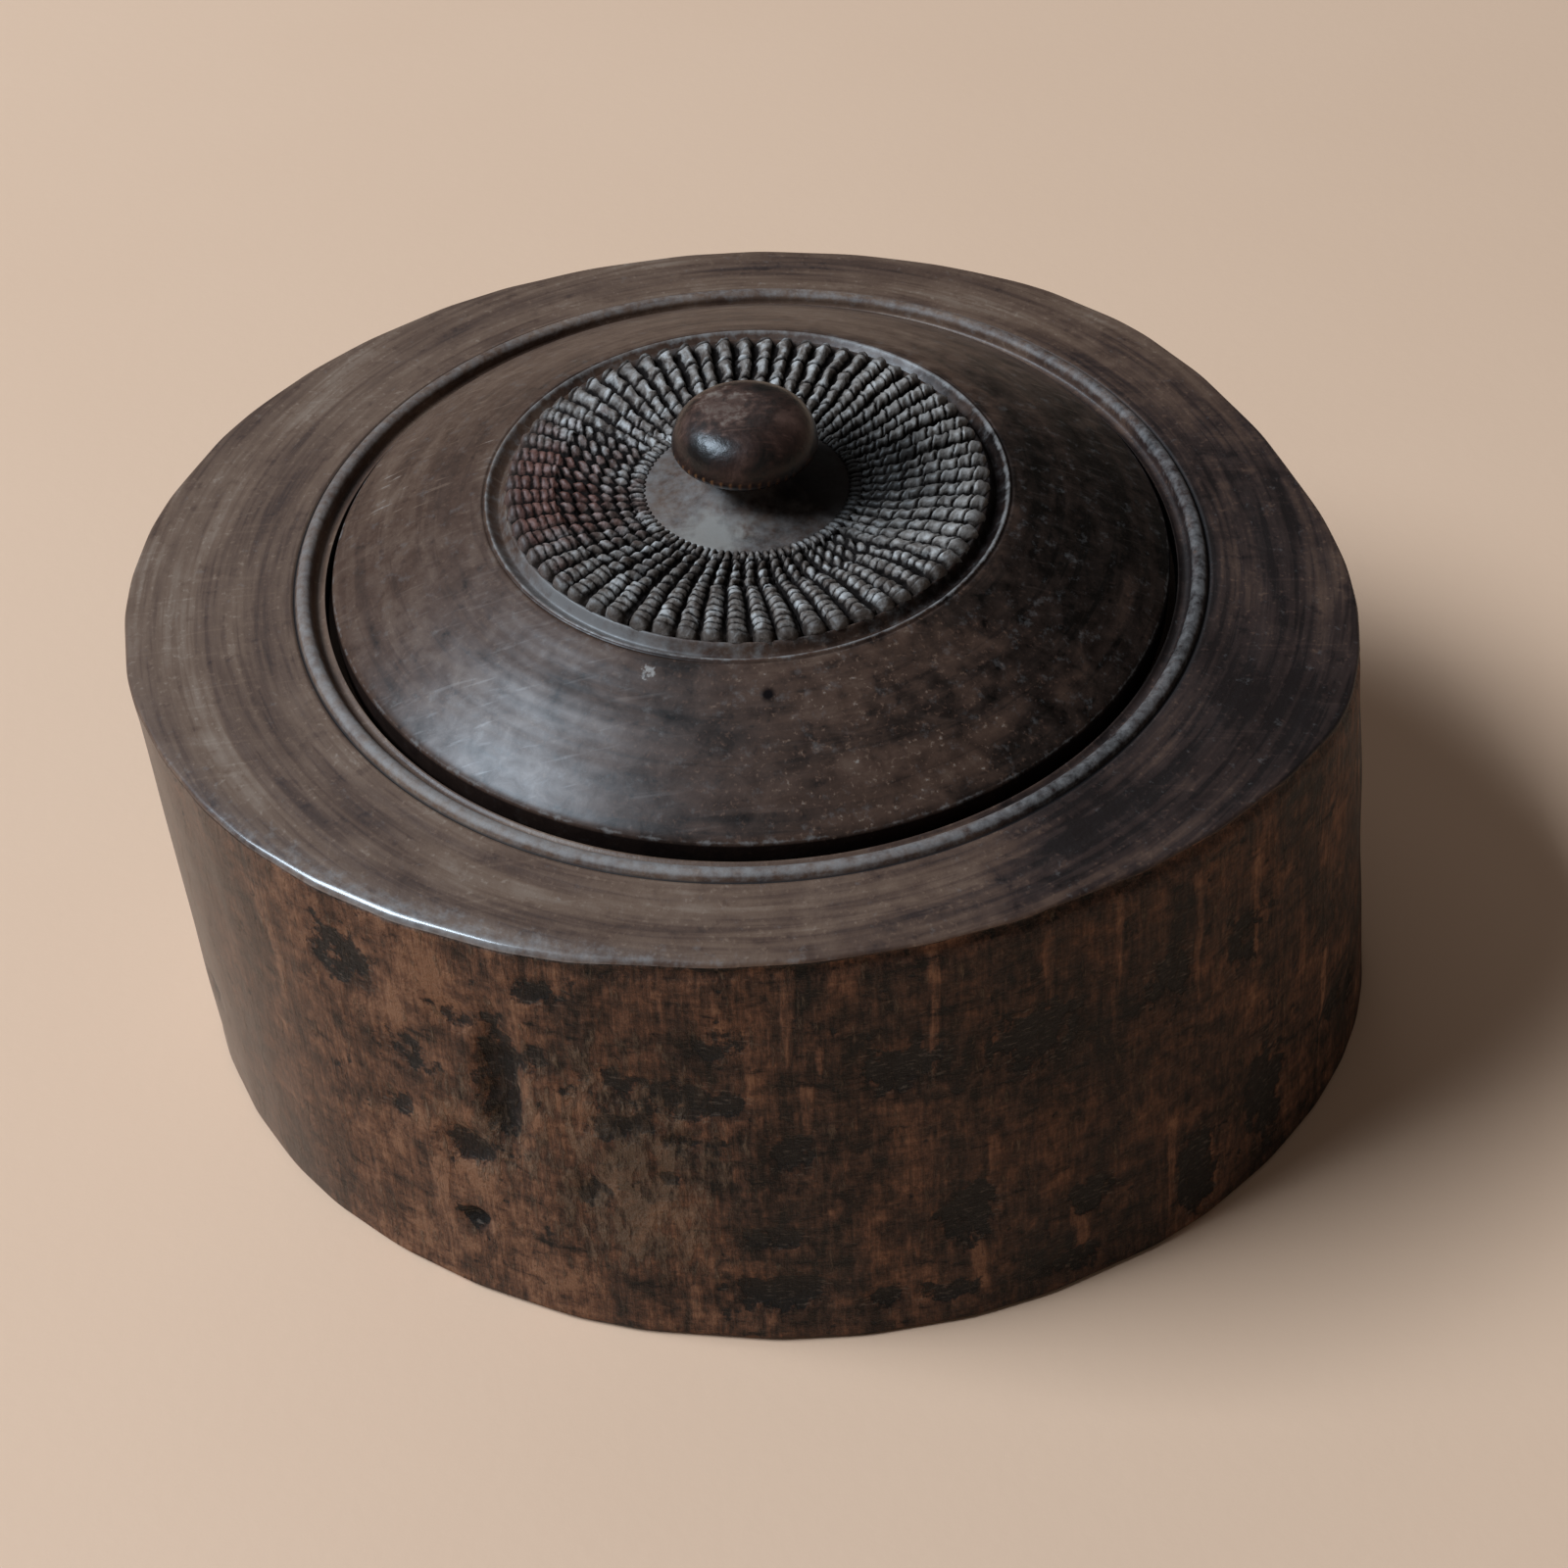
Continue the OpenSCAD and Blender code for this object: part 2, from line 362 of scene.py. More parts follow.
def group(name, vectors, numbers, outputs):
    """New shader node group with named sockets; returns it with what comes in."""
    tree = bpy.data.node_groups.new(name, "ShaderNodeTree")
    for label in vectors:
        tree.interface.new_socket(label, in_out="INPUT", socket_type=VECTOR)
    for label, value in numbers.items():
        socket = tree.interface.new_socket(label, in_out="INPUT", socket_type=FLOAT)
        socket.default_value = value
    for label in outputs:
        tree.interface.new_socket(label, in_out="OUTPUT", socket_type=FLOAT)
    return tree, tree.nodes.new("NodeGroupInput").outputs


def give(tree, **results):
    """Wires the results of a node group to its outputs, and returns the group."""
    put(tree, "NodeGroupOutput", results)
    return tree


def mottle_group():
    """End grain and stain: slow patches, small flecks and a surface height."""
    numbers = {"Patch": 40.0, "Fleck": 420.0}
    tree, ins = group("mottle", ["Vector"], numbers, ["Patches", "Flecks", "Height"])
    at = ins["Vector"]
    slow = speckle(tree, at, ins["Patch"], 6.0, 0.62, 0.6)
    fine = speckle(tree, at, ins["Fleck"], 3.0, 0.6)
    flecks = stretch(tree, fine, 0.58, 0.74)
    height = math_node(tree, "ADD", math_node(tree, "MULTIPLY", slow, 0.6), fine)
    return give(tree, Patches=stretch(tree, slow, 0.32, 0.68), Flecks=flecks, Height=height)


def smear(tree, vector, along):
    """Coordinates that draw every pattern out into arcs about the axis."""
    level = vector_node(tree, "MULTIPLY", vector, (1.0, 1.0, 0.0))
    radius = vector_node(tree, "LENGTH", level)
    facing = vector_node(tree, "NORMALIZE", level)
    round_it = vector_node(tree, "SCALE", facing, along)
    outward = put(tree, "ShaderNodeCombineXYZ", {2: radius}).outputs[0]
    return vector_node(tree, "ADD", round_it, outward)


def turning_group():
    """Marks of the turning tool: fine lines and broader stains drawn out round the axis."""
    numbers = {"Lines": 1300.0, "Bands": 260.0}
    tree, ins = group("turning_marks", ["Vector"], numbers, ["Lines", "Bands", "Height"])
    lines = speckle(tree, smear(tree, ins["Vector"], 0.0035), ins["Lines"], 2.0, 0.5)
    bands = speckle(tree, smear(tree, ins["Vector"], 0.012), ins["Bands"], 6.0, 0.62, 0.4)
    height = math_node(tree, "ADD", lines, math_node(tree, "MULTIPLY", bands, 0.7))
    lines = stretch(tree, lines, 0.40, 0.68)
    return give(tree, Lines=lines, Bands=stretch(tree, bands, 0.34, 0.66), Height=height)


def streak_group():
    """Skin of the hewn side: ragged patches, upright fibres, level cracks and a surface height."""
    outputs = ["Patch", "Fibre", "Cracks", "Height"]
    tree, ins = group("hewn_skin", ["Vector"], {"Scale": 85.0}, outputs)
    at = ins["Vector"]
    scale = ins["Scale"]
    ragged = speckle(tree, scaled(tree, at, (1.0, 1.0, 0.6)), scale, 12.0, 0.72, 0.4)
    narrow = math_node(tree, "MULTIPLY", scale, 16.0)
    upright = speckle(tree, scaled(tree, at, (1.0, 1.0, 0.06)), narrow, 5.0, 0.66)
    split = math_node(tree, "MULTIPLY", scale, 4.5)
    level = speckle(tree, scaled(tree, at, (0.3, 0.3, 1.0)), split, 6.0, 0.7, 0.3)
    results = {}
    for label, value in (("Patch", ragged), ("Fibre", upright), ("Cracks", level)):
        centred = math_node(tree, "SUBTRACT", value, 0.5)
        results[label] = math_node(tree, "MULTIPLY", centred, 2.0)
    height = total(tree, 0.0, (ragged, 1.0), (upright, 0.5), (level, 0.5))
    return give(tree, Height=height, **results)


def wear_group():
    """Mask of a painted amount broken up by noise, soft or crisp at its edge: wear, dust, painted shade or
    painted highlight.
    """
    numbers = {"Amount": 0.0, "Scale": 300.0, "Break": 0.6, "Upright": 1.0, "Soft": 0.22}
    tree, ins = group("broken_paint_mask", ["Vector"], numbers, ["Mask"])
    drawn = put(tree, "ShaderNodeCombineXYZ", {0: 1.0, 1: 1.0, 2: ins["Upright"]}).outputs[0]
    at = vector_node(tree, "MULTIPLY", ins["Vector"], drawn)
    centred = math_node(tree, "SUBTRACT", speckle(tree, at, ins["Scale"], 6.0, 0.68), 0.5)
    broken = math_node(tree, "MULTIPLY", math_node(tree, "MULTIPLY", centred, 2.0), ins["Break"])
    amount = math_node(tree, "ADD", ins["Amount"], broken)
    low = math_node(tree, "SUBTRACT", WORN_THROUGH, ins["Soft"])
    high = math_node(tree, "ADD", WORN_THROUGH, ins["Soft"])
    return give(tree, Mask=stretch(tree, amount, low, high))


def scratch_group():
    """Short straight scratches, all much the same way."""
    tree, ins = group("scratches", ["Vector"], {"Scale": 1.0}, ["Mask"])
    wires = {0: ins["Vector"], 2: (0.0, 0.0, math.radians(-38.0)), 3: (55.0, 900.0, 300.0)}
    along = put(tree, "ShaderNodeMapping", wires).outputs[0]
    return give(tree, Mask=stretch(tree, speckle(tree, along, ins["Scale"], 2.0), 0.62, 0.72))


def spot_group():
    """Round mask about a place on the object, frayed at its edge."""
    numbers = {"Size": 0.01, "Grain": 240.0, "Fray": 0.8}
    tree, ins = group("spot", ["Vector", "Place"], numbers, ["Mask"])
    away = vector_node(tree, "DISTANCE", ins["Vector"], ins["Place"])
    ratio = math_node(tree, "DIVIDE", away, ins["Size"])
    noisy = math_node(tree, "SUBTRACT", speckle(tree, ins["Vector"], ins["Grain"], 4.0), 0.5)
    frayed = total(tree, ratio, (noisy, ins["Fray"]))
    return give(tree, Mask=stretch(tree, frayed, 1.2, 0.5))


MOTTLE = mottle_group()
TURNING = turning_group()
STREAKS = streak_group()
WEAR = wear_group()
SPOT = spot_group()
SCRATCHES = scratch_group()


class Wood:
    """A new wood material with its shader, and short calls to fill it."""

    def __init__(self, name):
        self.material = bpy.data.materials.new(name)
        self.material.use_nodes = True
        self.tree = self.material.node_tree
        self.shader = self.tree.nodes["Principled BSDF"]
        self.at = put(self.tree, "ShaderNodeTexCoord").outputs["Object"]

    def use(self, made, **wires):
        """One of the shared groups, reading this object's own coordinates."""
        wires["Vector"] = self.at
        return put(self.tree, "ShaderNodeGroup", wires, node_tree=made).outputs

    def worn(self, mark, **settings):
        """Mask of a painted mark broken up by noise."""
        return self.use(WEAR, Amount=self.painted(mark), **settings)["Mask"]

    def spot(self, place, size, **settings):
        """Mask of one spot; its place and size are in metres."""
        return self.use(SPOT, Place=place, Size=size, **settings)["Mask"]

    def scratched(self, scale):
        """Mask of the scratches."""
        return self.use(SCRATCHES, Scale=scale)["Mask"]

    def painted(self, mark):
        """A value that is painted on the mesh."""
        return put(self.tree, "ShaderNodeAttribute", attribute_name=mark).outputs["Fac"]

    def dull(self, amount):
        """Sets the surface's plain mirror-like share."""
        self.shader.inputs["Specular IOR Level"].default_value = amount

    def polish(self, weight, roughness, strength=1.5):
        """Lays a varying polish over the surface, of one roughness and strength."""
        self.tree.links.new(weight, self.shader.inputs["Coat Weight"])
        self.shader.inputs["Coat Roughness"].default_value = roughness
        self.shader.inputs["Coat IOR"].default_value = strength

    def finish(self, colour, roughness, height, depth):
        """Wires colour, roughness and a bump of the given depth in millimetres."""
        self.tree.links.new(colour, self.shader.inputs["Base Color"])
        self.tree.links.new(roughness, self.shader.inputs["Roughness"])
        wires = {"Height": height, "Strength": 1.0, "Distance": depth * MM}
        bump = put(self.tree, "ShaderNodeBump", wires)
        self.tree.links.new(bump.outputs[0], self.shader.inputs["Normal"])
        return self.material


def rgb(red, green, blue):
    """A solid colour."""
    return (red, green, blue, 1.0)


# Materials


def hewn_wood():
    """Dark smoked outside of the drum: rusty streaks, black hollows and a dusty rough patch; a painted
    sheen on the smooth left side, painted glints, and a painted highlight under the worn edge at the front
    left.
    """
    wood = Wood("hewn_wood")
    tree = wood.tree
    skin_marks = wood.use(STREAKS, Scale=85.0)
    grit = wood.use(STREAKS, Scale=420.0)
    stain = wood.use(MOTTLE, Patch=34.0, Fleck=1300.0)
    rough = wood.worn("rough", Scale=620.0, Break=1.9, Upright=0.26, Soft=0.2)
    soot = wood.worn("hollow", Scale=260.0, Break=1.5, Upright=0.8, Soft=0.12)
    drips = wood.worn("ridge", Scale=420.0, Break=0.9, Upright=0.14, Soft=0.16)
    contrast = total(tree, 1.7, (wood.painted("smooth"), -1.0))
    splits = stretch(tree, skin_marks["Cracks"], -0.20, -0.34)
    texture = total(tree, 0.0, (skin_marks["Patch"], 0.72), (grit["Patch"], 0.48))
    texture = total(tree, texture, (skin_marks["Fibre"], 0.30), (skin_marks["Cracks"], 0.30))
    tone = total(tree, 0.335, (texture, contrast), (wood.painted("rust"), 0.66), (drips, 0.30))
    tone = total(tree, tone, (soot, -0.48), (wood.painted("hollow"), -0.06))
    tone = total(tree, tone, (stain["Patches"], 0.08), (splits, -0.22))
    colour = tones(
        tree, tone,
        (0.10, rgb(0.006, 0.005, 0.004)),
        (0.26, rgb(0.018, 0.010, 0.007)),
        (0.42, rgb(0.048, 0.025, 0.017)),
        (0.58, rgb(0.092, 0.044, 0.027)),
        (0.76, rgb(0.168, 0.078, 0.045)),
        (0.96, rgb(0.270, 0.135, 0.076)),
    )
    # Polish on the smooth left side, with a paler tint that is a painted sheen
    polish = stretch(tree, wood.painted("smooth"), 0.56, 1.0)
    colour = tint(tree, colour, polish, 0.55, rgb(0.240, 0.160, 0.115))
    # Dust, with painted glints in the fine cracks
    glints = math_node(tree, "MULTIPLY", stretch(tree, grit["Cracks"], 0.16, 0.34), contrast)
    dust = total(tree, 0.0, (rough, 0.50), (stain["Flecks"], 0.14), (glints, 0.22))
    colour = blend(tree, dust, colour, rgb(0.240, 0.158, 0.102))
    colour = tint(tree, colour, soot, 0.6, rgb(0.022, 0.019, 0.017))
    # Painted glints on the lips of the hollows
    near_hollow = stretch(tree, wood.painted("hollow"), 0.08, 0.3)
    lip_glints = math_node(tree, "MULTIPLY", near_hollow, stretch(tree, grit["Cracks"], 0.10, 0.30))
    colour = tint(tree, colour, lip_glints, 0.35, rgb(0.200, 0.160, 0.132))
    # Paler top of the side at the front left: wear and a painted highlight
    worn = wood.worn("edge", Scale=420.0, Break=0.6)
    colour = tint(tree, colour, worn, 0.5, rgb(0.20, 0.17, 0.155))
    roughness = stretch(tree, skin_marks["Patch"], -0.3, 0.3, 0.42, 0.66)
    wood.dull(0.16)
    wood.polish(polish, 0.5)
    height = total(tree, skin_marks["Height"], (stain["Height"], total(tree, 0.35, (rough, 0.7))))
    height = total(tree, height, (grit["Height"], 0.4), (soot, -0.3), (drips, 0.35))
    return wood.finish(colour, roughness, height, 0.7)


def rim_wood():
    """Turned top of the drum, brown, with dark stains drawn out in arcs under a low polish; painted shade
    in the creases and a painted highlight on the worn edge at the front left.
    """
    wood = Wood("rim_wood")
    tree = wood.tree
    marks = wood.use(TURNING, Lines=900.0, Bands=120.0)
    stain = wood.use(MOTTLE, Patch=60.0, Fleck=900.0)
    broad = wood.use(MOTTLE, Patch=16.0, Fleck=330.0)
    dark = wood.spot((0.112, -0.046, 0.09), 0.105)
    scuffs = wood.scratched(1.0)
    worn = wood.worn("edge", Scale=520.0, Break=0.8, Soft=0.34)
    tone = total(tree, 0.18, (marks["Bands"], 0.38), (stain["Patches"], 0.20), (broad["Patches"], 0.16))
    tone = total(tree, tone, (marks["Lines"], 0.14), (stain["Flecks"], 0.24), (scuffs, 0.08))
    arcs = stretch(tree, marks["Lines"], 0.12, 0.0)
    tone = total(tree, tone, (dark, -0.42), (broad["Flecks"], -0.16), (arcs, -0.06))
    colour = tones(
        tree, tone,
        (0.05, rgb(0.012, 0.007, 0.006)),
        (0.25, rgb(0.036, 0.020, 0.016)),
        (0.48, rgb(0.090, 0.049, 0.033)),
        (0.72, rgb(0.150, 0.088, 0.058)),
        (0.98, rgb(0.240, 0.165, 0.120)),
    )
    # Pale wear on the bead and the outer edge, with a painted highlight at the front left
    colour = tint(tree, colour, worn, 0.7, rgb(0.275, 0.250, 0.236))
    # Painted shade in the creases and in the gap round the lid
    colour = blend(tree, wood.painted("crease"), colour, rgb(0.006, 0.004, 0.004))
    satin = stretch(tree, stain["Patches"], 0.0, 1.0, 0.36, 0.52)
    roughness = total(tree, satin, (wood.painted("crease"), 0.4), (wood.painted("edge"), 0.3))
    wood.dull(0.36)
    wood.polish(stretch(tree, wood.painted("smooth"), 0.0, 1.0), 0.2, 2.2)
    height = total(tree, stain["Height"], (marks["Height"], 0.6))
    return wood.finish(colour, roughness, height, 0.07)


def hollow_wood():
    """Plain turned inside of the drum and of the lid, paler and dry."""
    wood = Wood("hollow_wood")
    tree = wood.tree
    lines = wood.use(TURNING, Lines=420.0, Bands=90.0)
    stain = wood.use(MOTTLE, Patch=30.0, Fleck=500.0)
    colour = blend(tree, stain["Patches"], rgb(0.075, 0.041, 0.026), rgb(0.155, 0.090, 0.058))
    colour = tint(tree, colour, lines["Lines"], 0.4, rgb(0.050, 0.028, 0.020))
    roughness = stretch(tree, stain["Patches"], 0.0, 1.0, 0.55, 0.72)
    return wood.finish(colour, roughness, lines["Height"], 0.25)


def lid_wood():
    """Turned dome of the lid: brown under a smoky polish, mottled, dusty on one side and scuffed; painted
    shade in the creases, painted sheen in the groove at the front left and the knob's painted shadow.
    """
    wood = Wood("lid_wood")
    tree = wood.tree
    marks = wood.use(TURNING, Lines=700.0, Bands=150.0)
    stain = wood.use(MOTTLE, Patch=75.0, Fleck=520.0)
    bloom = wood.use(MOTTLE, Patch=240.0, Fleck=1100.0)
    dark = wood.spot((0.074, -0.012, 0.097), 0.064)
    front = wood.spot((-0.018, -0.078, 0.095), 0.062)
    dusty = wood.spot((0.020, -0.058, 0.098), 0.034)
    scuffed = wood.spot((-0.053, 0.022, 0.100), 0.020)
    hole = wood.spot((0.0017, -0.0502, 0.1057), 0.0013, Grain=900.0, Fray=0.4)
    chip = wood.spot((-0.0172, -0.0446, 0.1066), 0.0011, Grain=1300.0, Fray=4.0)
    # Painted shadow of the knob on the hub
    painted_knob_shadow = wood.spot(KNOB_SHADOW_PLACE, KNOB_SHADOW_SIZE)
    pale = wood.spot((-0.0065, -0.0132, 0.108), 0.006, Grain=500.0, Fray=1.5)
    scratches = wood.scratched(1.0)
    dust = wood.worn("dust", Scale=420.0, Break=0.9, Soft=0.4)
    worn = wood.worn("edge", Scale=420.0, Break=0.7)
    tone = total(tree, 0.282, (stain["Patches"], 0.12), (bloom["Patches"], 0.16), (marks["Bands"], 0.27))
    arcs = stretch(tree, marks["Lines"], 0.16, 0.0)
    tone = total(tree, tone, (dark, -0.42), (front, -0.15), (stain["Flecks"], -0.16), (arcs, -0.07))
    tone = total(tree, tone, (bloom["Flecks"], total(tree, 0.16, (dusty, 0.34))))
    tone = total(tree, tone, (scratches, total(tree, 0.05, (scuffed, 0.35))))
    colour = tones(
        tree, tone,
        (0.02, rgb(0.006, 0.004, 0.003)),
        (0.24, rgb(0.026, 0.015, 0.011)),
        (0.50, rgb(0.074, 0.039, 0.026)),
        (0.74, rgb(0.130, 0.078, 0.053)),
        (0.98, rgb(0.240, 0.190, 0.160)),
    )
    # Grey dust in the groove and on the hub; at the front left of the groove it is a painted sheen
    colour = tint(tree, colour, dust, 0.8, rgb(0.205, 0.188, 0.178))
    colour = tint(tree, colour, pale, 0.8, rgb(0.28, 0.25, 0.22))
    # The knob's painted shadow, near black
    colour = tint(tree, colour, painted_knob_shadow, 0.9, rgb(0.012, 0.009, 0.008))
    colour = tint(tree, colour, worn, 0.8, rgb(0.26, 0.235, 0.22))
    colour = tint(tree, colour, chip, 0.8, rgb(0.34, 0.30, 0.27))
    # Painted shade in the creases, the gaps and the well, a painted shadow in the groove on the right, and
    # the small hole
    shade = math_node(tree, "MULTIPLY", wood.painted("crease"), 0.8)
    colour = blend(tree, math_node(tree, "MAXIMUM", shade, hole), colour, rgb(0.006, 0.004, 0.004))
    satin = total(tree, 0.32, (bloom["Patches"], 0.12), (stain["Patches"], 0.10))
    roughness = total(tree, satin, (wood.painted("dust"), 0.2), (hole, 0.4))
    gloss = total(tree, 0.36, (bloom["Patches"], 0.30), (scratches, 0.3), (dark, -0.4), (hole, -0.6))
    gloss = total(tree, gloss, (wood.painted("crease"), -0.55), (painted_knob_shadow, -0.6))
    wood.dull(0.05)
    wood.polish(stretch(tree, gloss, 0.0, 0.8, 0.0, 0.74), 0.37, 1.6)
    height = total(tree, bloom["Height"], (marks["Height"], 0.5))
    return wood.finish(colour, roughness, height, 0.045)


def carved_wood():
    """Carved ribs: painted shade and dirt in the cuts, dust and a painted highlight on the crests, red at
    one side.
    """
    wood = Wood("carved_wood")
    tree = wood.tree
    stain = wood.use(MOTTLE, Patch=330.0, Fleck=900.0)
    crest = wood.worn("crest", Scale=700.0, Break=0.8, Soft=0.34)
    red = wood.spot((-0.037, -0.002, FIELD_TOP * MM), 0.019, Grain=180.0, Fray=2.2)
    pale = wood.spot((0.034, 0.004, FIELD_TOP * MM), 0.030)
    # Painted shadow of the knob on the ribs
    painted_knob_shadow = wood.spot(KNOB_SHADOW_PLACE, KNOB_SHADOW_SIZE)
    grey = tones(
        tree, stain["Patches"],
        (0.18, rgb(0.085, 0.060, 0.047)),
        (0.50, rgb(0.210, 0.172, 0.148)),
        (0.85, rgb(0.430, 0.398, 0.375)),
    )
    grey = tint(tree, grey, pale, 0.55, rgb(0.380, 0.335, 0.300))
    warm = blend(tree, stain["Patches"], rgb(0.050, 0.014, 0.009), rgb(0.180, 0.058, 0.036))
    top = tint(tree, grey, red, 0.9, warm)
    # Dark in the cuts: painted shade and dirt; pale on the crests: dust and painted highlight
    colour = blend(tree, crest, rgb(0.010, 0.007, 0.006), top)
    colour = tint(tree, colour, wood.painted("tip"), 0.6, rgb(0.040, 0.028, 0.022))
    # The knob's painted shadow, near black
    colour = tint(tree, colour, painted_knob_shadow, 0.95, rgb(0.008, 0.006, 0.005))
    roughness = stretch(tree, crest, 0.0, 1.0, 0.85, 0.55)
    wood.dull(0.1)
    wood.polish(stretch(tree, crest, 0.3, 1.0, 0.0, 0.64), 0.55)
    return wood.finish(colour, roughness, stain["Height"], 0.3)


def knob_wood():
    """Handled knob: dark red brown, polished, rubbed paler and scratched on top."""
    wood = Wood("knob_wood")
    tree = wood.tree
    stain = wood.use(MOTTLE, Patch=150.0, Fleck=700.0)
    rubbed = wood.worn("worn", Scale=230.0, Break=1.3, Soft=0.3)
    patch = wood.spot((-0.003, 0.001, KNOB_TOP * MM), 0.0055, Grain=480.0, Fray=2.6)
    scratches = wood.scratched(1.4)
    tone = total(tree, -0.07, (stain["Patches"], 0.60), (rubbed, 0.12), (patch, 0.50), (scratches, 0.20))
    tone = total(tree, tone, (stain["Flecks"], -0.15))
    colour = tones(
        tree, tone,
        (0.10, rgb(0.008, 0.005, 0.004)),
        (0.38, rgb(0.030, 0.013, 0.009)),
        (0.64, rgb(0.078, 0.038, 0.027)),
        (0.95, rgb(0.190, 0.140, 0.112)),
    )
    colour = blend(tree, wood.painted("ticks"), colour, rgb(0.23, 0.10, 0.04))
    colour = tint(tree, colour, wood.painted("dust"), 0.7, rgb(0.100, 0.088, 0.082))
    roughness = total(tree, 0.27, (stain["Patches"], 0.18), (wood.painted("dust"), 0.3))
    wood.dull(0.4)
    return wood.finish(colour, roughness, stain["Height"], 0.09)


# Drum


DRUM_ANGLE = np.arange(DRUM_COLUMNS) * 360.0 / DRUM_COLUMNS
FLAT_ANGLE = np.arange(FLAT_COUNT) * 360.0 / FLAT_COUNT


def reach(angle, long, wide, shift):
    """Distance from the axis to an oval side in a direction, less the broad flat."""
    turn = np.radians(angle)
    oval = np.hypot(long * np.cos(turn), wide * np.sin(turn))
    return oval + shift * np.cos(turn) - BROAD_FLAT * swell(angle, 20.0, 22.0)


def side_reach(height):
    """Distance to the hewn side at each column; the ridges between the flats are rubbed soft."""
    rim = reach(FLAT_ANGLE, RIM_HALF_LENGTH, RIM_HALF_WIDTH, -RIM_OFFSET)
    rim = rim + RIM_CORNER * swell(FLAT_ANGLE, -31.0, 18.0)
    foot = reach(FLAT_ANGLE, RIM_HALF_LENGTH + SIDE_FLARE, RIM_HALF_WIDTH + SIDE_FLARE, FOOT_OFFSET)
    order = np.arange(FLAT_COUNT)
    stray = FLAT_STRAY * np.sin(np.radians(137.5 * order)) * np.cos(np.radians(29.0 * order))
    planes = (foot + stray)[None, :] + (rim - foot)[None, :] * height[:, None] / RIM_Z
    facing = np.cos(np.radians(DRUM_ANGLE[:, None] - FLAT_ANGLE[None, :]))
    away = np.where(facing > 0.5, planes / np.maximum(facing, 0.5), 1e6)
    near = np.partition(away, 3, axis=1)[:, :4]
    least = near.min(axis=1, keepdims=True)
    return least[:, 0] - FLAT_SOFT * np.log(np.exp(-(near - least) / FLAT_SOFT).sum(axis=1))


def side_marks():
    """Every sooty hollow of the side: those that show, and their like on the far side."""
    draw = np.random.default_rng(HOLLOW_SEED)
    far = []
    for _ in range(FAR_HOLLOWS):
        size = draw.uniform(2.5, 6.0), draw.uniform(2.5, 9.0)
        place = draw.uniform(-28, 205), draw.uniform(8, 80)
        far.append((*place, *size, draw.uniform(0.4, 0.8), draw.uniform(0.6, 1.0)))
    return HOLLOWS + far


def streak_lines():
    """Every rusty streak of the side: those that show, and their like on the far side."""
    draw = np.random.default_rng(STREAK_SEED)
    far = []
    for _ in range(FAR_STREAKS):
        low = draw.choice([draw.uniform(2, 8), draw.uniform(40, 62)])
        far.append((draw.uniform(-24, 212), low, low + draw.uniform(12, 34), draw.uniform(1.1, 2.0)))
    return STREAK_LINES + far


def off_line(angle, middle, radius):
    """Distance round the side from a direction, in millimetres."""
    return ((angle - middle + 540.0) % 360.0 - 180.0) * np.pi / 180.0 * radius


def side_relief(points, angle, height, radius):
    """Depth cut into the side at each point, with its hollow and rough values."""
    warp = lumps(points, 5.0, 3.1) * 0.45 + lumps(points, 2.4, 9.3) * 0.35
    depth = np.zeros(height.shape)
    hollow = np.zeros(height.shape)
    for middle, level, half_width, half_height, cut, black in side_marks():
        across = off_line(angle, middle, radius) / half_width
        up = (height - level) / half_height
        inside = np.exp(-0.6 * np.maximum(across ** 2 + up ** 2 + warp, 0.0) ** 1.6)
        depth = np.maximum(depth, cut * inside)
        hollow = np.maximum(hollow, inside * black)
    rough = 0.75 * swell(angle, -103.5, 8.0) * np.exp(-((height - 36.0) / 20.0) ** 4)
    rough = rough + 0.45 * swell(angle, -107.0, 10.0) * np.exp(-((height - 64.0) / 12.0) ** 2)
    rough = rough + 0.55 * swell(angle, -120.0, 7.0) * np.exp(-((height - 46.0) / 14.0) ** 2)
    rough = rough + 0.6 * swell(angle, 130.0, 16.0) * np.exp(-((height - 50.0) / 30.0) ** 2)
    grit = lumps(points, 2.6, 11.0) * 0.35 * np.clip(rough, 0.0, 1.0)
    sway = lumps(points, 24.0, 5.0) * 0.35 + lumps(points * [1, 1, 0.2], 5.0, 8.0) * 0.14
    return depth + grit + sway, hollow, np.clip(rough, 0.0, 1.0)


def side_rust(points, angle, height):
    """Where the dark skin is rubbed through to red wood, mostly at the front left and the foot."""
    patches = lumps(points * [1, 1, 0.5], 13.0, 31.0)
    front_left = swell(angle, -124.0, 24.0)
    foot = 0.04 * ramp_up(height, 18.0, 4.0) * swell(angle, -75.0, 50.0)
    broken = lumps(points * [1, 1, 0.6], 5.5, 47.0)
    return np.clip(0.08 + 0.14 * patches + front_left * (0.48 + 0.34 * broken) + foot, 0.0, 1.0)


def side_streaks(points, angle, height, radius):
    """How strongly each point lies on a rusty streak; streaks run out to a point at the foot."""
    waver = lumps(points * [1, 1, 0.5], 9.0, 17.0) * 1.4
    amount = np.zeros(height.shape)
    for middle, low, high, half_width in streak_lines():
        share = np.clip((height - low) / (high - low), 0.0, 1.0)
        inside = ramp_up(height, low - 1.0, low + 4.0) * ramp_up(height, high + 2.0, high - 1.0)
        width = half_width * (0.45 + 0.55 * share)
        away = (off_line(angle, middle, radius) + waver) / width
        amount = np.maximum(amount, 0.8 * inside * np.exp(-away ** 2))
    return amount


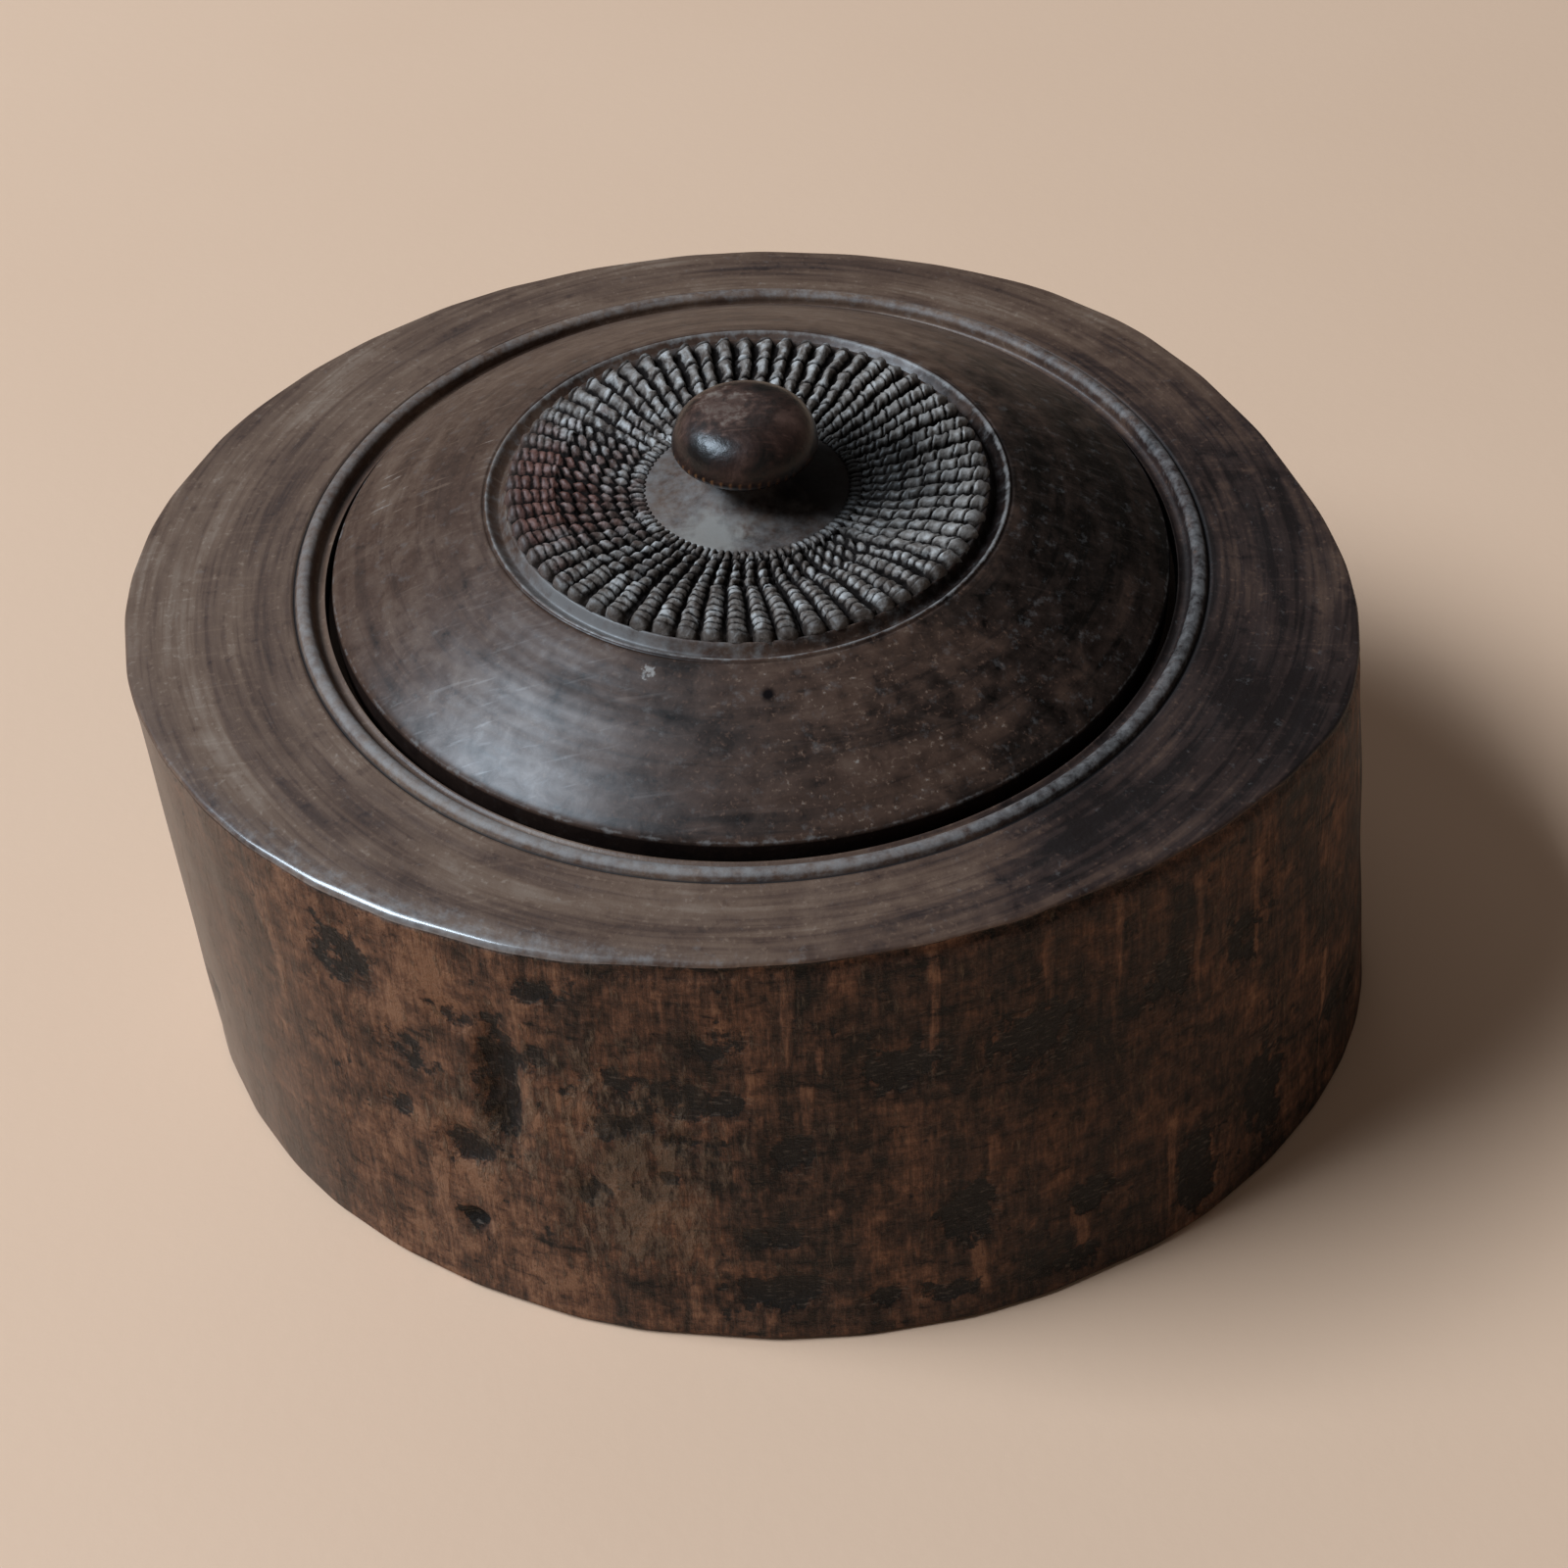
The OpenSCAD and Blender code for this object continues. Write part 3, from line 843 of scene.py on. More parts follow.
def drum_rows():
    """Loops of the drum from the base up the side, over the rim and into the hollow."""
    edge = side_reach(np.full(DRUM_COLUMNS, RIM_Z))
    # The front left of the rim: worn round, and given a painted highlight along its edge
    worn_highlit_side = swell(DRUM_ANGLE, 238.0, 27.0)
    edge_z = RIM_TOP - RIM_SLOPE * (edge - BEAD_RADIUS) - 0.4 * worn_highlit_side
    turn = np.radians(DRUM_ANGLE)
    ring = np.stack([np.cos(turn), np.sin(turn), np.zeros(DRUM_COLUMNS)], -1)
    wear = 0.6 + 0.9 * worn_highlit_side + 0.2 * lumps(ring * 100.0, 9.0, 2.0)
    overhang = 1.0 * swell(DRUM_ANGLE, 305.0, 34.0)
    # Smooth sides: less rough texture; at the left, facing the lamp, a paler painted sheen
    smooth_side = 1.0 * swell(DRUM_ANGLE, 186.0, 50.0) + 0.56 * swell(DRUM_ANGLE, 308.0, 38.0)
    rows = []

    def add(radius, height, zone, **marks):
        """Adds one loop of points with its painted values."""
        loop = np.stack([radius * np.cos(turn), radius * np.sin(turn), height + 0.0 * radius], -1)
        values = [np.broadcast_to(marks.get(mark, 0.0), DRUM_COLUMNS) for mark in DRUM_MARKS]
        rows.append((loop, zone, np.stack(values)))

    foot = side_reach(np.zeros(DRUM_COLUMNS))
    for share in (0.3, 0.7, 0.93):
        add(foot * share, np.zeros(DRUM_COLUMNS) + 0.15 * (share < 0.9), HEWN)
    add(foot - 1.3, np.zeros(DRUM_COLUMNS), HEWN)
    add(foot - 0.45, np.full(DRUM_COLUMNS, 0.35), HEWN)
    top = edge_z - wear
    below = [5.0, 3.8, 2.8, 2.0, 1.3, 0.7, 0.3, 0.0]
    heights = [1.2 + (top - 1.2 - 6.0) * t for t in np.linspace(0.0, 1.0, 76)]
    heights += [top - b for b in below]
    for z in heights:
        radius = side_reach(z)
        points = np.stack([radius * np.cos(turn), radius * np.sin(turn), z], -1)
        cut, hollow, rough = side_relief(points, DRUM_ANGLE, z, radius)
        held = ramp_up(top - z, 0.0, 5.0) * ramp_up(z, 0.0, 4.0)
        tuck = overhang * ramp_up(top - z, 3.4, 1.2) * ramp_up(top - z, 0.0, 0.7)
        marks = {"hollow": hollow, "rough": rough, "smooth": smooth_side}
        # Just under the edge at the front left: wear and a painted highlight
        marks["edge"] = 0.4 * ramp_up(top - z, 0.8, 0.0) * worn_highlit_side
        marks["rust"] = side_rust(points, DRUM_ANGLE, z)
        marks["ridge"] = side_streaks(points, DRUM_ANGLE, z, radius)
        add(radius - cut * held - tuck, z, HEWN, **marks)
    for share in (0.2, 0.4, 0.6, 0.8, 1.0):
        turn_in = share * math.pi / 2.0
        radius = edge - wear * (1.0 - math.cos(turn_in))
        z = edge_z - wear * (1.0 - math.sin(turn_in)) + RIM_SLOPE * (edge - radius)
        # Pale paint on the rounded edge: wear, and a painted highlight
        rubbed = worn_highlit_side * (0.7 + 0.3 * math.sin(turn_in * 2.0))
        add(radius, z, RIM, edge=0.62 * rubbed, smooth=0.5 * rubbed)
    inner = BEAD_RADIUS + 2.4
    for share in np.linspace(0.06, 1.0, 24):
        radius = (edge - wear) * (1.0 - share) + inner * share
        z = RIM_TOP - RIM_SLOPE * (radius - BEAD_RADIUS)
        roll = 0.07 * np.sin(radius * 0.5) + 0.03 * np.sin(radius * 1.7 + 1.0)
        fade = ramp_up(np.full(DRUM_COLUMNS, share), 0.0, 0.15)
        # The rim just inside the edge at the front left gets a painted sheen
        near = max(0.0, 1.0 - share / 0.2) * worn_highlit_side
        add(radius, z + roll * fade - 0.4 * near ** 2, RIM, edge=0.5 * near, smooth=0.5 * near)
    plain = np.ones(DRUM_COLUMNS)
    # The bead is pale with wear all round, and paler at the front left with a painted highlight
    bead_wear_and_highlight = 0.45 + 0.40 * swell(DRUM_ANGLE, 238.0, 60.0)
    for radius, z, zone, worn, crease in mouth_section():
        add(plain * radius, plain * z, zone, edge=worn * bead_wear_and_highlight, crease=crease)
    return rows


def bare(zone, *points):
    """Rows of a section without wear or dirt."""
    return [(radius, height, zone, 0.0, 0.0) for radius, height in points]


def mouth_section():
    """Radius, height, zone, wear and painted crease shade of the turned mouth, from the rim inwards."""
    rim_at = RIM_TOP - RIM_SLOPE * 2.1
    rows = [(BEAD_RADIUS + 2.0, rim_at, RIM, 0.0, 0.2)]
    rows += [(BEAD_RADIUS + 1.75, rim_at - 0.35, RIM, 0.0, 1.0)]
    rows += [(BEAD_RADIUS + 1.5, rim_at - 0.25, RIM, 0.0, 0.8)]
    bead = arc(BEAD_RADIUS, DRUM_HEIGHT - BEAD_SIZE, BEAD_SIZE, 12.0, 178.0, 11)
    rows += [(r, z, RIM, 0.85 if z > DRUM_HEIGHT - 0.7 else 0.4, 0.0) for r, z in bead]
    cove_at = BEAD_RADIUS - BEAD_SIZE - 0.8 * COVE_SIZE
    cove = arc(cove_at, DRUM_HEIGHT - LIP_DROP, COVE_SIZE, -36.0, -146.0, 7)
    rows += bare(RIM, *cove)
    rows += [(MOUTH_RADIUS + 0.02, 92.0, RIM, 0.1, 0.1), (MOUTH_RADIUS, 91.6, RIM, 0.0, 0.8)]
    rows += [(MOUTH_RADIUS, z, RIM, 0.0, 1.0) for z in (90.5, 89.2, SEAT_Z + 0.15)]
    seat = (MOUTH_RADIUS - 0.15, 71.0, 68.5, HOLLOW_RADIUS + 0.3)
    rows += bare(INSIDE, *((r, SEAT_Z) for r in seat))
    wall = (SEAT_Z - 0.3, 80.0, 66.0, 52.0, 40.0, 30.0)
    rows += bare(INSIDE, *((HOLLOW_RADIUS, z) for z in wall))
    corner_at = HOLLOW_RADIUS - HOLLOW_CORNER
    corner = arc(corner_at, FLOOR_THICKNESS + HOLLOW_CORNER, HOLLOW_CORNER, 0.0, -90.0, 8)
    floor = [(r, FLOOR_THICKNESS) for r in (38.0, 22.0, 8.0)]
    return rows + bare(INSIDE, *corner, *floor)


def make_drum():
    """The drum, hewn outside and turned at its mouth and inside."""
    rows = drum_rows()
    loops = np.stack([loop for loop, _, _ in rows])
    zones = [rows[0][1]] + [zone for _, zone, _ in rows]
    values = np.stack([v for _, _, v in rows], axis=1)
    marks = dict(zip(DRUM_MARKS, values))
    mesh = skin("drum_skin", (0, 0, 0.15), loops, (0, 0, FLOOR_THICKNESS), zones, marks)
    drum = piece("drum_shell", mesh, "box_body", "drum_wood", hewn_wood(), rim_wood(), INSIDE_WOOD)
    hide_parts("drum")


# Lid


LID_ANGLE = np.arange(LID_COLUMNS) * 360.0 / LID_COLUMNS
DOME_Z = (LID_RADIUS ** 2 - RING_RADIUS ** 2 + EDGE_Z ** 2 - RING_Z ** 2) / (2 * (EDGE_Z - RING_Z))
DOME_RADIUS = math.hypot(LID_RADIUS, EDGE_Z - DOME_Z)


def dome(radius):
    """Height of the lid's domed top."""
    return DOME_Z + math.sqrt(DOME_RADIUS ** 2 - radius ** 2)


def lid_section():
    """Radius, height, zone, wear and painted crease shade of the lid, from the dish to the tenon hole."""
    dish_size = (DISH_REACH ** 2 + DISH_HEIGHT ** 2) / (2 * DISH_HEIGHT)
    dish_z = PLUG_Z + DISH_HEIGHT - dish_size
    dish = [(r, dish_z + math.sqrt(dish_size ** 2 - r * r)) for r in (6, 14, 22, 30, 38, 46, 52, 56)]
    rows = bare(UNDERSIDE, *dish, (DISH_REACH, PLUG_Z + 0.1), (DISH_REACH + 0.4, PLUG_Z))
    rows += bare(UNDERSIDE, (61.0, PLUG_Z), (PLUG_RADIUS - 0.5, PLUG_Z))
    rows += bare(UNDERSIDE, *((PLUG_RADIUS, z) for z in (PLUG_Z + 0.5, PLUG_Z + 2.5, SEAT_Z - 0.2)))
    seat = (PLUG_RADIUS + 0.2, 67.5, 70.0, LID_RADIUS - 0.4)
    rows += bare(UNDERSIDE, *((r, SEAT_Z) for r in seat))
    rows += [(LID_RADIUS, z, DOME, 0.0, 1.0) for z in (SEAT_Z + 0.4, SEAT_Z + 3.0, EDGE_Z - 0.7)]
    rows += [(LID_RADIUS - 0.05, EDGE_Z - 0.4, DOME, 0.2, 0.4)]
    rows += [(LID_RADIUS - 0.3, EDGE_Z - 0.05, DOME, 0.4, 0.0)]
    for radius in np.linspace(LID_RADIUS - 0.9, RING_RADIUS + 1.2, 46):
        roll = 0.05 * math.sin(radius * 0.7) + 0.015 * math.sin(radius * 2.9)
        rows += bare(DOME, (radius, dome(radius) + roll))
    outside = [(0.85, 0.0, 0.0, 0.1), (0.68, -0.2, 0.0, 0.5)]
    outside += [(0.5, -0.25, 0.0, 0.5), (0.34, -0.08, 0.2, 0.2)]
    rows += [(RING_RADIUS + d, dome(RING_RADIUS + d) + h, DOME, w, c) for d, h, w, c in outside]
    arris = [(0.12, 0.04, 0.55), (-0.1, 0.0, 0.6), (-0.35, -0.22, 0.5)]
    rows += [(RING_RADIUS + d, RING_Z + h, DOME, w, 0.0) for d, h, w in arris]
    for share in (0.4, 0.7, 0.95):
        radius = RING_RADIUS + (WELL_RADIUS - RING_RADIUS) * share
        rows.append((radius, RING_Z - 1.6 * share, DOME, 0.2, 0.0))
    rows += [(WELL_RADIUS - 0.1, WELL_Z, DOME, 0.1, 0.25)]
    rows += [(PLINTH_RADIUS + 0.05, WELL_Z + 0.02, DOME, 0.1, 0.25)]
    for share in (0.2, 0.45, 0.7, 0.9):
        z = WELL_Z + (FIELD_TOP - FINGER_ROUND - WELL_Z) * share
        rows.append((PLINTH_RADIUS + (FIELD_RADIUS - PLINTH_RADIUS) * share, z, DOME, 0.2, 0.0))
    rows += [(FIELD_RADIUS - 0.1, FIELD_TOP - FINGER_ROUND - 0.1, DOME, 0.1, 0.2)]
    rows += [(FIELD_RADIUS - 1.2, WELL_Z + 1.0, DOME, 0.0, 1.0)]
    rows += [(r, WELL_Z + 0.2, DOME, 0.0, 1.0) for r in (34.0, 27.0, HUB_RADIUS + 1.6)]
    hub_edge = FIELD_TOP - FIELD_RISE - 0.5
    rows += [(HUB_RADIUS + 0.5, WELL_Z + 0.4, DOME, 0.0, 0.3)]
    rows += bare(DOME, (HUB_RADIUS + 0.1, hub_edge - 0.1))
    for radius in np.linspace(HUB_RADIUS - 0.3, FOOT_RADIUS + 0.6, 11):
        share = (HUB_RADIUS - radius) / (HUB_RADIUS - FOOT_RADIUS - 0.6)
        z = hub_edge + (HUB_Z - hub_edge) * share ** 1.6 + HUB_MOUND * share ** 2.2
        rows += bare(DOME, (radius, z))
    collar = [(6.6, 0.6), (6.0, 1.2), (5.3, 1.5)]
    rows += bare(DOME, *((r, HUB_Z + HUB_MOUND + h) for r, h in collar))
    rows += [(TENON_RADIUS + 0.3, HUB_Z + 0.1, DOME, 0.0, 0.6)]
    hole = (HUB_Z - 0.2, HUB_Z - TENON_LENGTH - 0.4)
    return rows + bare(UNDERSIDE, *((TENON_RADIUS + 0.1, z) for z in hole))


def lid_dust_and_sheen(radius, height):
    """Grey dust in the groove round the carving and on the hub, and a painted sheen that makes the groove
    palest at the front left.
    """
    if height < EDGE_Z or radius > RING_RADIUS - 0.2:
        return np.zeros(LID_COLUMNS)
    if radius < FIELD_RADIUS - 0.2:
        return np.full(LID_COLUMNS, 0.5)
    return 0.14 + 0.9 * swell(LID_ANGLE, 229.0, 27.0)


def lid_crease(radius, height, depth):
    """Painted shade in the creases and gaps of the section, and a painted shadow in the groove on the
    right.
    """
    in_groove = FIELD_RADIUS - 0.2 < radius < RING_RADIUS - 0.5 and height > EDGE_Z
    return np.maximum(depth, 0.9 * in_groove * swell(LID_ANGLE, -18.0, 48.0))


def make_lid():
    """The lid, domed above and dished below, with the well for the carving."""
    rows = lid_section()
    loops = turned([(r, z) for r, z, _, _, _ in rows], LID_COLUMNS)
    zones = [rows[0][2]] + [row[2] for row in rows]
    spread = np.ones(LID_COLUMNS)
    marks = {
        "edge": np.stack([row[3] * spread for row in rows]),
        "crease": np.stack([lid_crease(row[0], row[1], row[4]) for row in rows]),
        "dust": np.stack([lid_dust_and_sheen(row[0], row[1]) for row in rows]),
    }
    start = (0, 0, PLUG_Z + DISH_HEIGHT)
    end = (0, 0, HUB_Z - TENON_LENGTH - 0.5)
    mesh = skin("lid_skin", start, loops, end, zones, marks)
    lid = piece("lid_dome", mesh, "lid_body", "lid_wood", lid_wood(), INSIDE_WOOD)
    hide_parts("lid")


# Carved field


def field_z(radius):
    """Height of the ribs' crests before the rows are cut."""
    share = np.clip((ROW_RADIUS - radius) / (ROW_RADIUS - HUB_RADIUS), 0.0, 1.0)
    return FIELD_TOP - FIELD_RISE * share


def rib_scale(radius):
    """Share of the full cut depth, shallower towards the hub."""
    return 0.55 + 0.45 * np.clip((radius - HUB_RADIUS) / (FIELD_RADIUS - HUB_RADIUS), 0.0, 1.0)


def crest_side(across, waist=1.0):
    """Share of the way from a rib's crest to the gap; the crest lies off centre, the gap beside it."""
    away = (across + 0.4) / waist
    return np.clip(np.where(away > 0.0, away / 1.25, -away / 0.6), 0.0, 1.0)


def strands(radius, across, pitch, slant, swelling, lean, power, sharp, dark=0.9, taper=0.0, calm=1.0):
    """Height and paint of strands laid across a rib: wedges or plain rows, straight or slanting."""
    place = (FIELD_RADIUS - radius - slant * across) / pitch
    share = 1.0 - (place - np.floor(place))
    dip = np.abs(2.0 * share - 1.0) ** sharp
    side = crest_side(across, 1.0 - taper * share) ** power
    height = -(swelling * dip + lean * share) * calm - RIB_DEPTH * rib_scale(radius) * side
    bare = 1.0 - ramp_up(side, 0.15, 0.85)
    # The paint is painted shade: dark in the gaps between ribs and at the notches, and painted lighter
    # towards one end of each strand
    paint = bare * (1.0 - dark * calm * ramp_up(dip, 0.1, 0.85)) * (1.2 - 0.4 * share)
    return height, paint


def long_joints(radius, across, bounds, slant, waist, power):
    """Height and paint of long hollowed segments with raised ends, like the joints of a cane."""
    bounds = np.asarray(bounds, float)
    place = radius + slant * across
    row = np.clip(np.searchsorted(bounds, place, side="right") - 1, 0, len(bounds) - 2)
    share = np.clip((place - bounds[row]) / (bounds[row + 1] - bounds[row]), 0.0, 1.0)
    ends = np.abs(2.0 * share - 1.0)
    notch = ramp_up(ends, 0.66, 1.0)
    side = crest_side(across, 1.0 - waist * (1.0 - ramp_up(ends, 0.2, 0.9))) ** power
    height = -0.5 * (1.0 - ends ** 2) - 0.9 * notch - RIB_DEPTH * rib_scale(radius) * side
    bare = 1.0 - ramp_up(side, 0.25, 0.9)
    # Dark paint in the gaps and the notches is painted shade
    paint = bare * (1.0 - notch) * (0.85 + 0.4 * ends)
    return height, paint


def rib_mesh():
    """One rib about the X axis, carved as at the left, with the change to the three other ways."""
    radius = np.linspace(HUB_RADIUS + 0.2, FIELD_RADIUS + 0.05, RIB_STEPS)[:, None]
    across = np.sin(np.linspace(-0.5, 0.5, RIB_ACROSS) * math.pi)[None, :]
    radius, across = np.broadcast_arrays(radius, across)
    calm = 1.0 - ramp_up(radius, FIELD_RADIUS - 1.7, FIELD_RADIUS - 0.9)
    bricks = [HUB_RADIUS, 19.4, 21.6, 24.0, 26.8, 30.0, 33.0, 35.8, 38.4, FIELD_RADIUS + 0.7]
    brick, brick_paint = long_joints(radius, across, bricks, slant=-0.7, waist=0.1, power=2.6)
    wedges = {"pitch": 2.3, "slant": 0.9, "swelling": 0.6, "lean": 0.5, "power": 2.0, "sharp": 1.3}
    nub, nub_paint = strands(radius, across, **wedges, dark=1.0, taper=0.25)
    rings = {"pitch": 1.5, "slant": 0.3, "swelling": 0.28, "lean": 0.1, "power": 2.4, "sharp": 2.0}
    finger, finger_paint = strands(radius, across, **rings, dark=0.85, calm=calm)
    inner = radius < SIDE_FINGER
    side = np.where(inner, nub, finger)
    side_paint = np.where(inner, nub_paint, finger_paint)
    inner = radius < FRONT_FINGER
    front = np.where(inner, nub, finger)
    front_paint = np.where(inner, nub_paint, finger_paint)
    joints = [HUB_RADIUS, 19.6, 22.2, 25.2, 28.6, 33.6, 39.4, FIELD_RADIUS + 0.6]
    back, back_paint = long_joints(radius, across, joints, slant=0.3, waist=0.3, power=2.4)
    bull = np.clip(radius - (FIELD_RADIUS - FINGER_ROUND), 0.0, FINGER_ROUND)
    end_drop = FINGER_ROUND - np.sqrt(FINGER_ROUND ** 2 - bull ** 2)
    lobe = 0.75 * np.abs(across) ** 3 * ramp_up(radius, FIELD_RADIUS - 2.6, FIELD_RADIUS)
    turn = math.pi / RIB_COUNT * across * 1.02
    out = radius - lobe
    base = field_z(radius) - end_drop
    top = np.stack([out * np.cos(turn), out * np.sin(turn), base + side], -1)
    floor_z = np.minimum(WELL_Z + 0.1, base - 3.0)
    left = np.stack([top[:, 0, 0], top[:, 0, 1], floor_z[:, 0]], -1)
    right = np.stack([top[:, -1, 0], top[:, -1, 1], floor_z[:, 0]], -1)
    grid = np.concatenate([left[:, None], top, right[:, None]], axis=1)
    low = np.zeros((RIB_STEPS, 1))
    tip = ramp_up(radius, FIELD_RADIUS - 2.6, FIELD_RADIUS - 1.2)
    marks = {"paint": np.hstack([low, side_paint, low]), "tip": np.hstack([low, tip, low])}
    ways = {"front": (front, front_paint), "back": (back, back_paint), "right": (brick, brick_paint)}
    for way, (height, paint) in ways.items():
        marks["to_" + way] = np.hstack([low, height - side, low]) * MM
        marks["paint_" + way] = np.hstack([low, paint - side_paint, low])
    return bar("carved_rib", grid, marks)


def bar(name, grid, marks):
    """Closed bar from a grid of points: ends and underside join its outer columns."""
    steps, width = grid.shape[:2]
    here = np.arange(steps * width).reshape(steps, width)
    cells = np.stack([here[:-1, :-1], here[1:, :-1], here[1:, 1:], here[:-1, 1:]], -1)
    faces = [tuple(f) for f in cells.reshape(-1, 4).tolist()]
    under = np.stack([here[:-1, -1], here[1:, -1], here[1:, 0], here[:-1, 0]], -1)
    faces += [tuple(f) for f in under.tolist()]
    faces += [tuple(here[0].tolist()), tuple(here[-1, ::-1].tolist())]
    mesh = bpy.data.meshes.new(name)
    mesh.from_pydata((grid.reshape(-1, 3) * MM).tolist(), [], faces)
    for mark, values in marks.items():
        layer = mesh.attributes.new(mark, "FLOAT", "POINT")
        layer.data.foreach_set("value", values.reshape(-1).astype(np.float32))
    mesh.update()
    return mesh


def tick_mesh():
    """One small ridge of the ring of ticks round the hub."""
    radius = np.linspace(HUB_RADIUS - 0.2, HUB_RADIUS + 2.4, 6)[:, None]
    across = np.linspace(-1.0, 1.0, 5)[None, :]
    radius, across = np.broadcast_arrays(radius, across)
    half = math.pi / TICK_COUNT * 0.92
    rise = (1.0 - np.abs(across) ** 2) * np.sin(np.linspace(0.35, math.pi - 0.3, 6))[:, None]
    z = field_z(radius) - 0.75 + 0.75 * rise
    turn = half * across
    top = np.stack([radius * np.cos(turn), radius * np.sin(turn), z], -1)
    left = top[:, :1] * [1, 1, 0] + [0, 0, WELL_Z]
    right = top[:, -1:] * [1, 1, 0] + [0, 0, WELL_Z]
    low = np.zeros((6, 1))
    marks = {"paint": np.hstack([low, rise, low])}
    return bar("hub_tick", np.concatenate([left, top, right], axis=1), marks)


def ring_nodes():
    """Geometry nodes that set copies of one carved bar round the axis, uneven by hand."""
    tree = bpy.data.node_groups.new("carved_ring", "GeometryNodeTree")
    face = tree.interface
    face.new_socket("Geometry", in_out="INPUT", socket_type="NodeSocketGeometry")
    sockets = {"Count": "NodeSocketInt", "Turn Jitter": FLOAT, "Unevenness": FLOAT}
    sockets.update({"Seed": "NodeSocketInt", "Wood": "NodeSocketMaterial"})
    for label, kind in sockets.items():
        face.new_socket(label, in_out="INPUT", socket_type=kind)
    face.new_socket("Geometry", in_out="OUTPUT", socket_type="NodeSocketGeometry")
    ins = tree.nodes.new("NodeGroupInput").outputs
    outs = tree.nodes.new("NodeGroupOutput")
    line = put(tree, "GeometryNodeMeshLine", {"Count": ins["Count"], "Offset": (0.0, 0.0, 0.0)})
    index = put(tree, "GeometryNodeInputIndex").outputs[0]
    share = math_node(tree, "DIVIDE", index, ins["Count"])
    even = math_node(tree, "MULTIPLY", share, 2.0 * math.pi)
    chance = put(tree, "FunctionNodeRandomValue", {"Seed": ins["Seed"], "ID": index}, data_type="FLOAT")
    spread = math_node(tree, "SUBTRACT", chance.outputs[1], 0.5)
    turn = math_node(tree, "ADD", even, math_node(tree, "MULTIPLY", spread, ins["Turn Jitter"]))
    angle = put(tree, "ShaderNodeCombineXYZ", {2: turn}).outputs[0]
    wires = {"Points": line.outputs[0], "Instance": ins["Geometry"], "Rotation": angle}
    ring = put(tree, "GeometryNodeInstanceOnPoints", wires).outputs[0]
    whole = put(tree, "GeometryNodeRealizeInstances", {0: ring}).outputs[0]
    place = put(tree, "GeometryNodeInputPosition").outputs[0]
    level = vector_node(tree, "MULTIPLY", place, (1.0, 1.0, 0.0))
    facing = vector_node(tree, "NORMALIZE", level)
    radius = vector_node(tree, "LENGTH", level)

    def named(mark):
        """A value that is painted on the bar."""
        return put(tree, "GeometryNodeInputNamedAttribute", {"Name": mark}, data_type="FLOAT").outputs[0]

    def towards(direction):
        """How far each point lies in a direction from the axis, from -1 to 1."""
        return vector_node(tree, "DOT_PRODUCT", facing, direction)

    lift = 0.0
    # The crest value carries the painted shade of the cuts and notches
    crest = named("paint")
    for way, (direction, begins, full) in CARVING_WAYS.items():
        weight = stretch(tree, towards(direction), begins, full)
        lift = total(tree, lift, (named("to_" + way), weight))
        crest = total(tree, crest, (named("paint_" + way), weight))
    wires = {"Vector": place, "Scale": 380.0, "Detail": 3.0, "Roughness": 0.6}
    rough = put(tree, "ShaderNodeTexNoise", wires).outputs[1]
    centred = vector_node(tree, "SUBTRACT", rough, (0.5, 0.5, 0.5))
    shake = vector_node(tree, "SCALE", centred, ins["Unevenness"])
    up = put(tree, "ShaderNodeCombineXYZ", {2: lift}).outputs[0]
    shift = vector_node(tree, "ADD", shake, up)
    beyond = math_node(tree, "MAXIMUM", math_node(tree, "SUBTRACT", radius, LEAN_FROM * MM), 0.0)
    share = math_node(tree, "ADD", math_node(tree, "MULTIPLY", towards(LEAN_WAY), 0.19), 0.05)
    sideways = vector_node(tree, "CROSS_PRODUCT", (0.0, 0.0, 1.0), facing)
    lean = vector_node(tree, "SCALE", sideways, math_node(tree, "MULTIPLY", beyond, share))
    shift = vector_node(tree, "ADD", shift, lean)
    wires = {"Geometry": whole, "Name": "crest", "Value": crest}
    store = put(tree, "GeometryNodeStoreNamedAttribute", wires, data_type="FLOAT", domain="POINT")
    moved = put(tree, "GeometryNodeSetPosition", {"Geometry": store.outputs[0], "Offset": shift}).outputs[0]
    soft = put(tree, "GeometryNodeSetShadeSmooth", {"Geometry": moved, "Shade Smooth": True}).outputs[0]
    done = put(tree, "GeometryNodeSetMaterial", {"Geometry": soft, "Material": ins["Wood"]}).outputs[0]
    tree.links.new(done, outs.inputs[0])
    return tree


def carve(name, mesh, tree, settings, material):
    """Runs the ring of copies on one bar and keeps the result as a plain mesh."""
    source = bpy.data.objects.new(name + "_source", mesh)
    bpy.context.scene.collection.objects.link(source)
    modifier = source.modifiers.new("carved_ring", "NODES")
    modifier.node_group = tree
    for item in tree.interface.items_tree:
        if item.in_out == "INPUT" and item.name in settings:
            modifier[item.identifier] = settings[item.name]
    graph = bpy.context.evaluated_depsgraph_get()
    made = bpy.data.meshes.new_from_object(source.evaluated_get(graph))
    source.modifiers.remove(modifier)
    bpy.data.objects.remove(source)
    made.name = name + "_mesh"
    made.materials.clear()
    return piece(name, made, "lid_body", "lid_wood", material)


def make_field():
    """The carved ribs round the hub, and the ring of ticks inside them."""
    tree = ring_nodes()
    wood = carved_wood()
    ribs = {"Count": RIB_COUNT, "Turn Jitter": 0.016, "Unevenness": 0.0013, "Seed": 4, "Wood": wood}
    carve("carved_ribs", rib_mesh(), tree, ribs, wood)
    ticks = {"Count": TICK_COUNT, "Turn Jitter": 0.012, "Unevenness": 0.0003, "Seed": 9, "Wood": wood}
    carve("hub_ticks", tick_mesh(), tree, ticks, wood)


# Knob


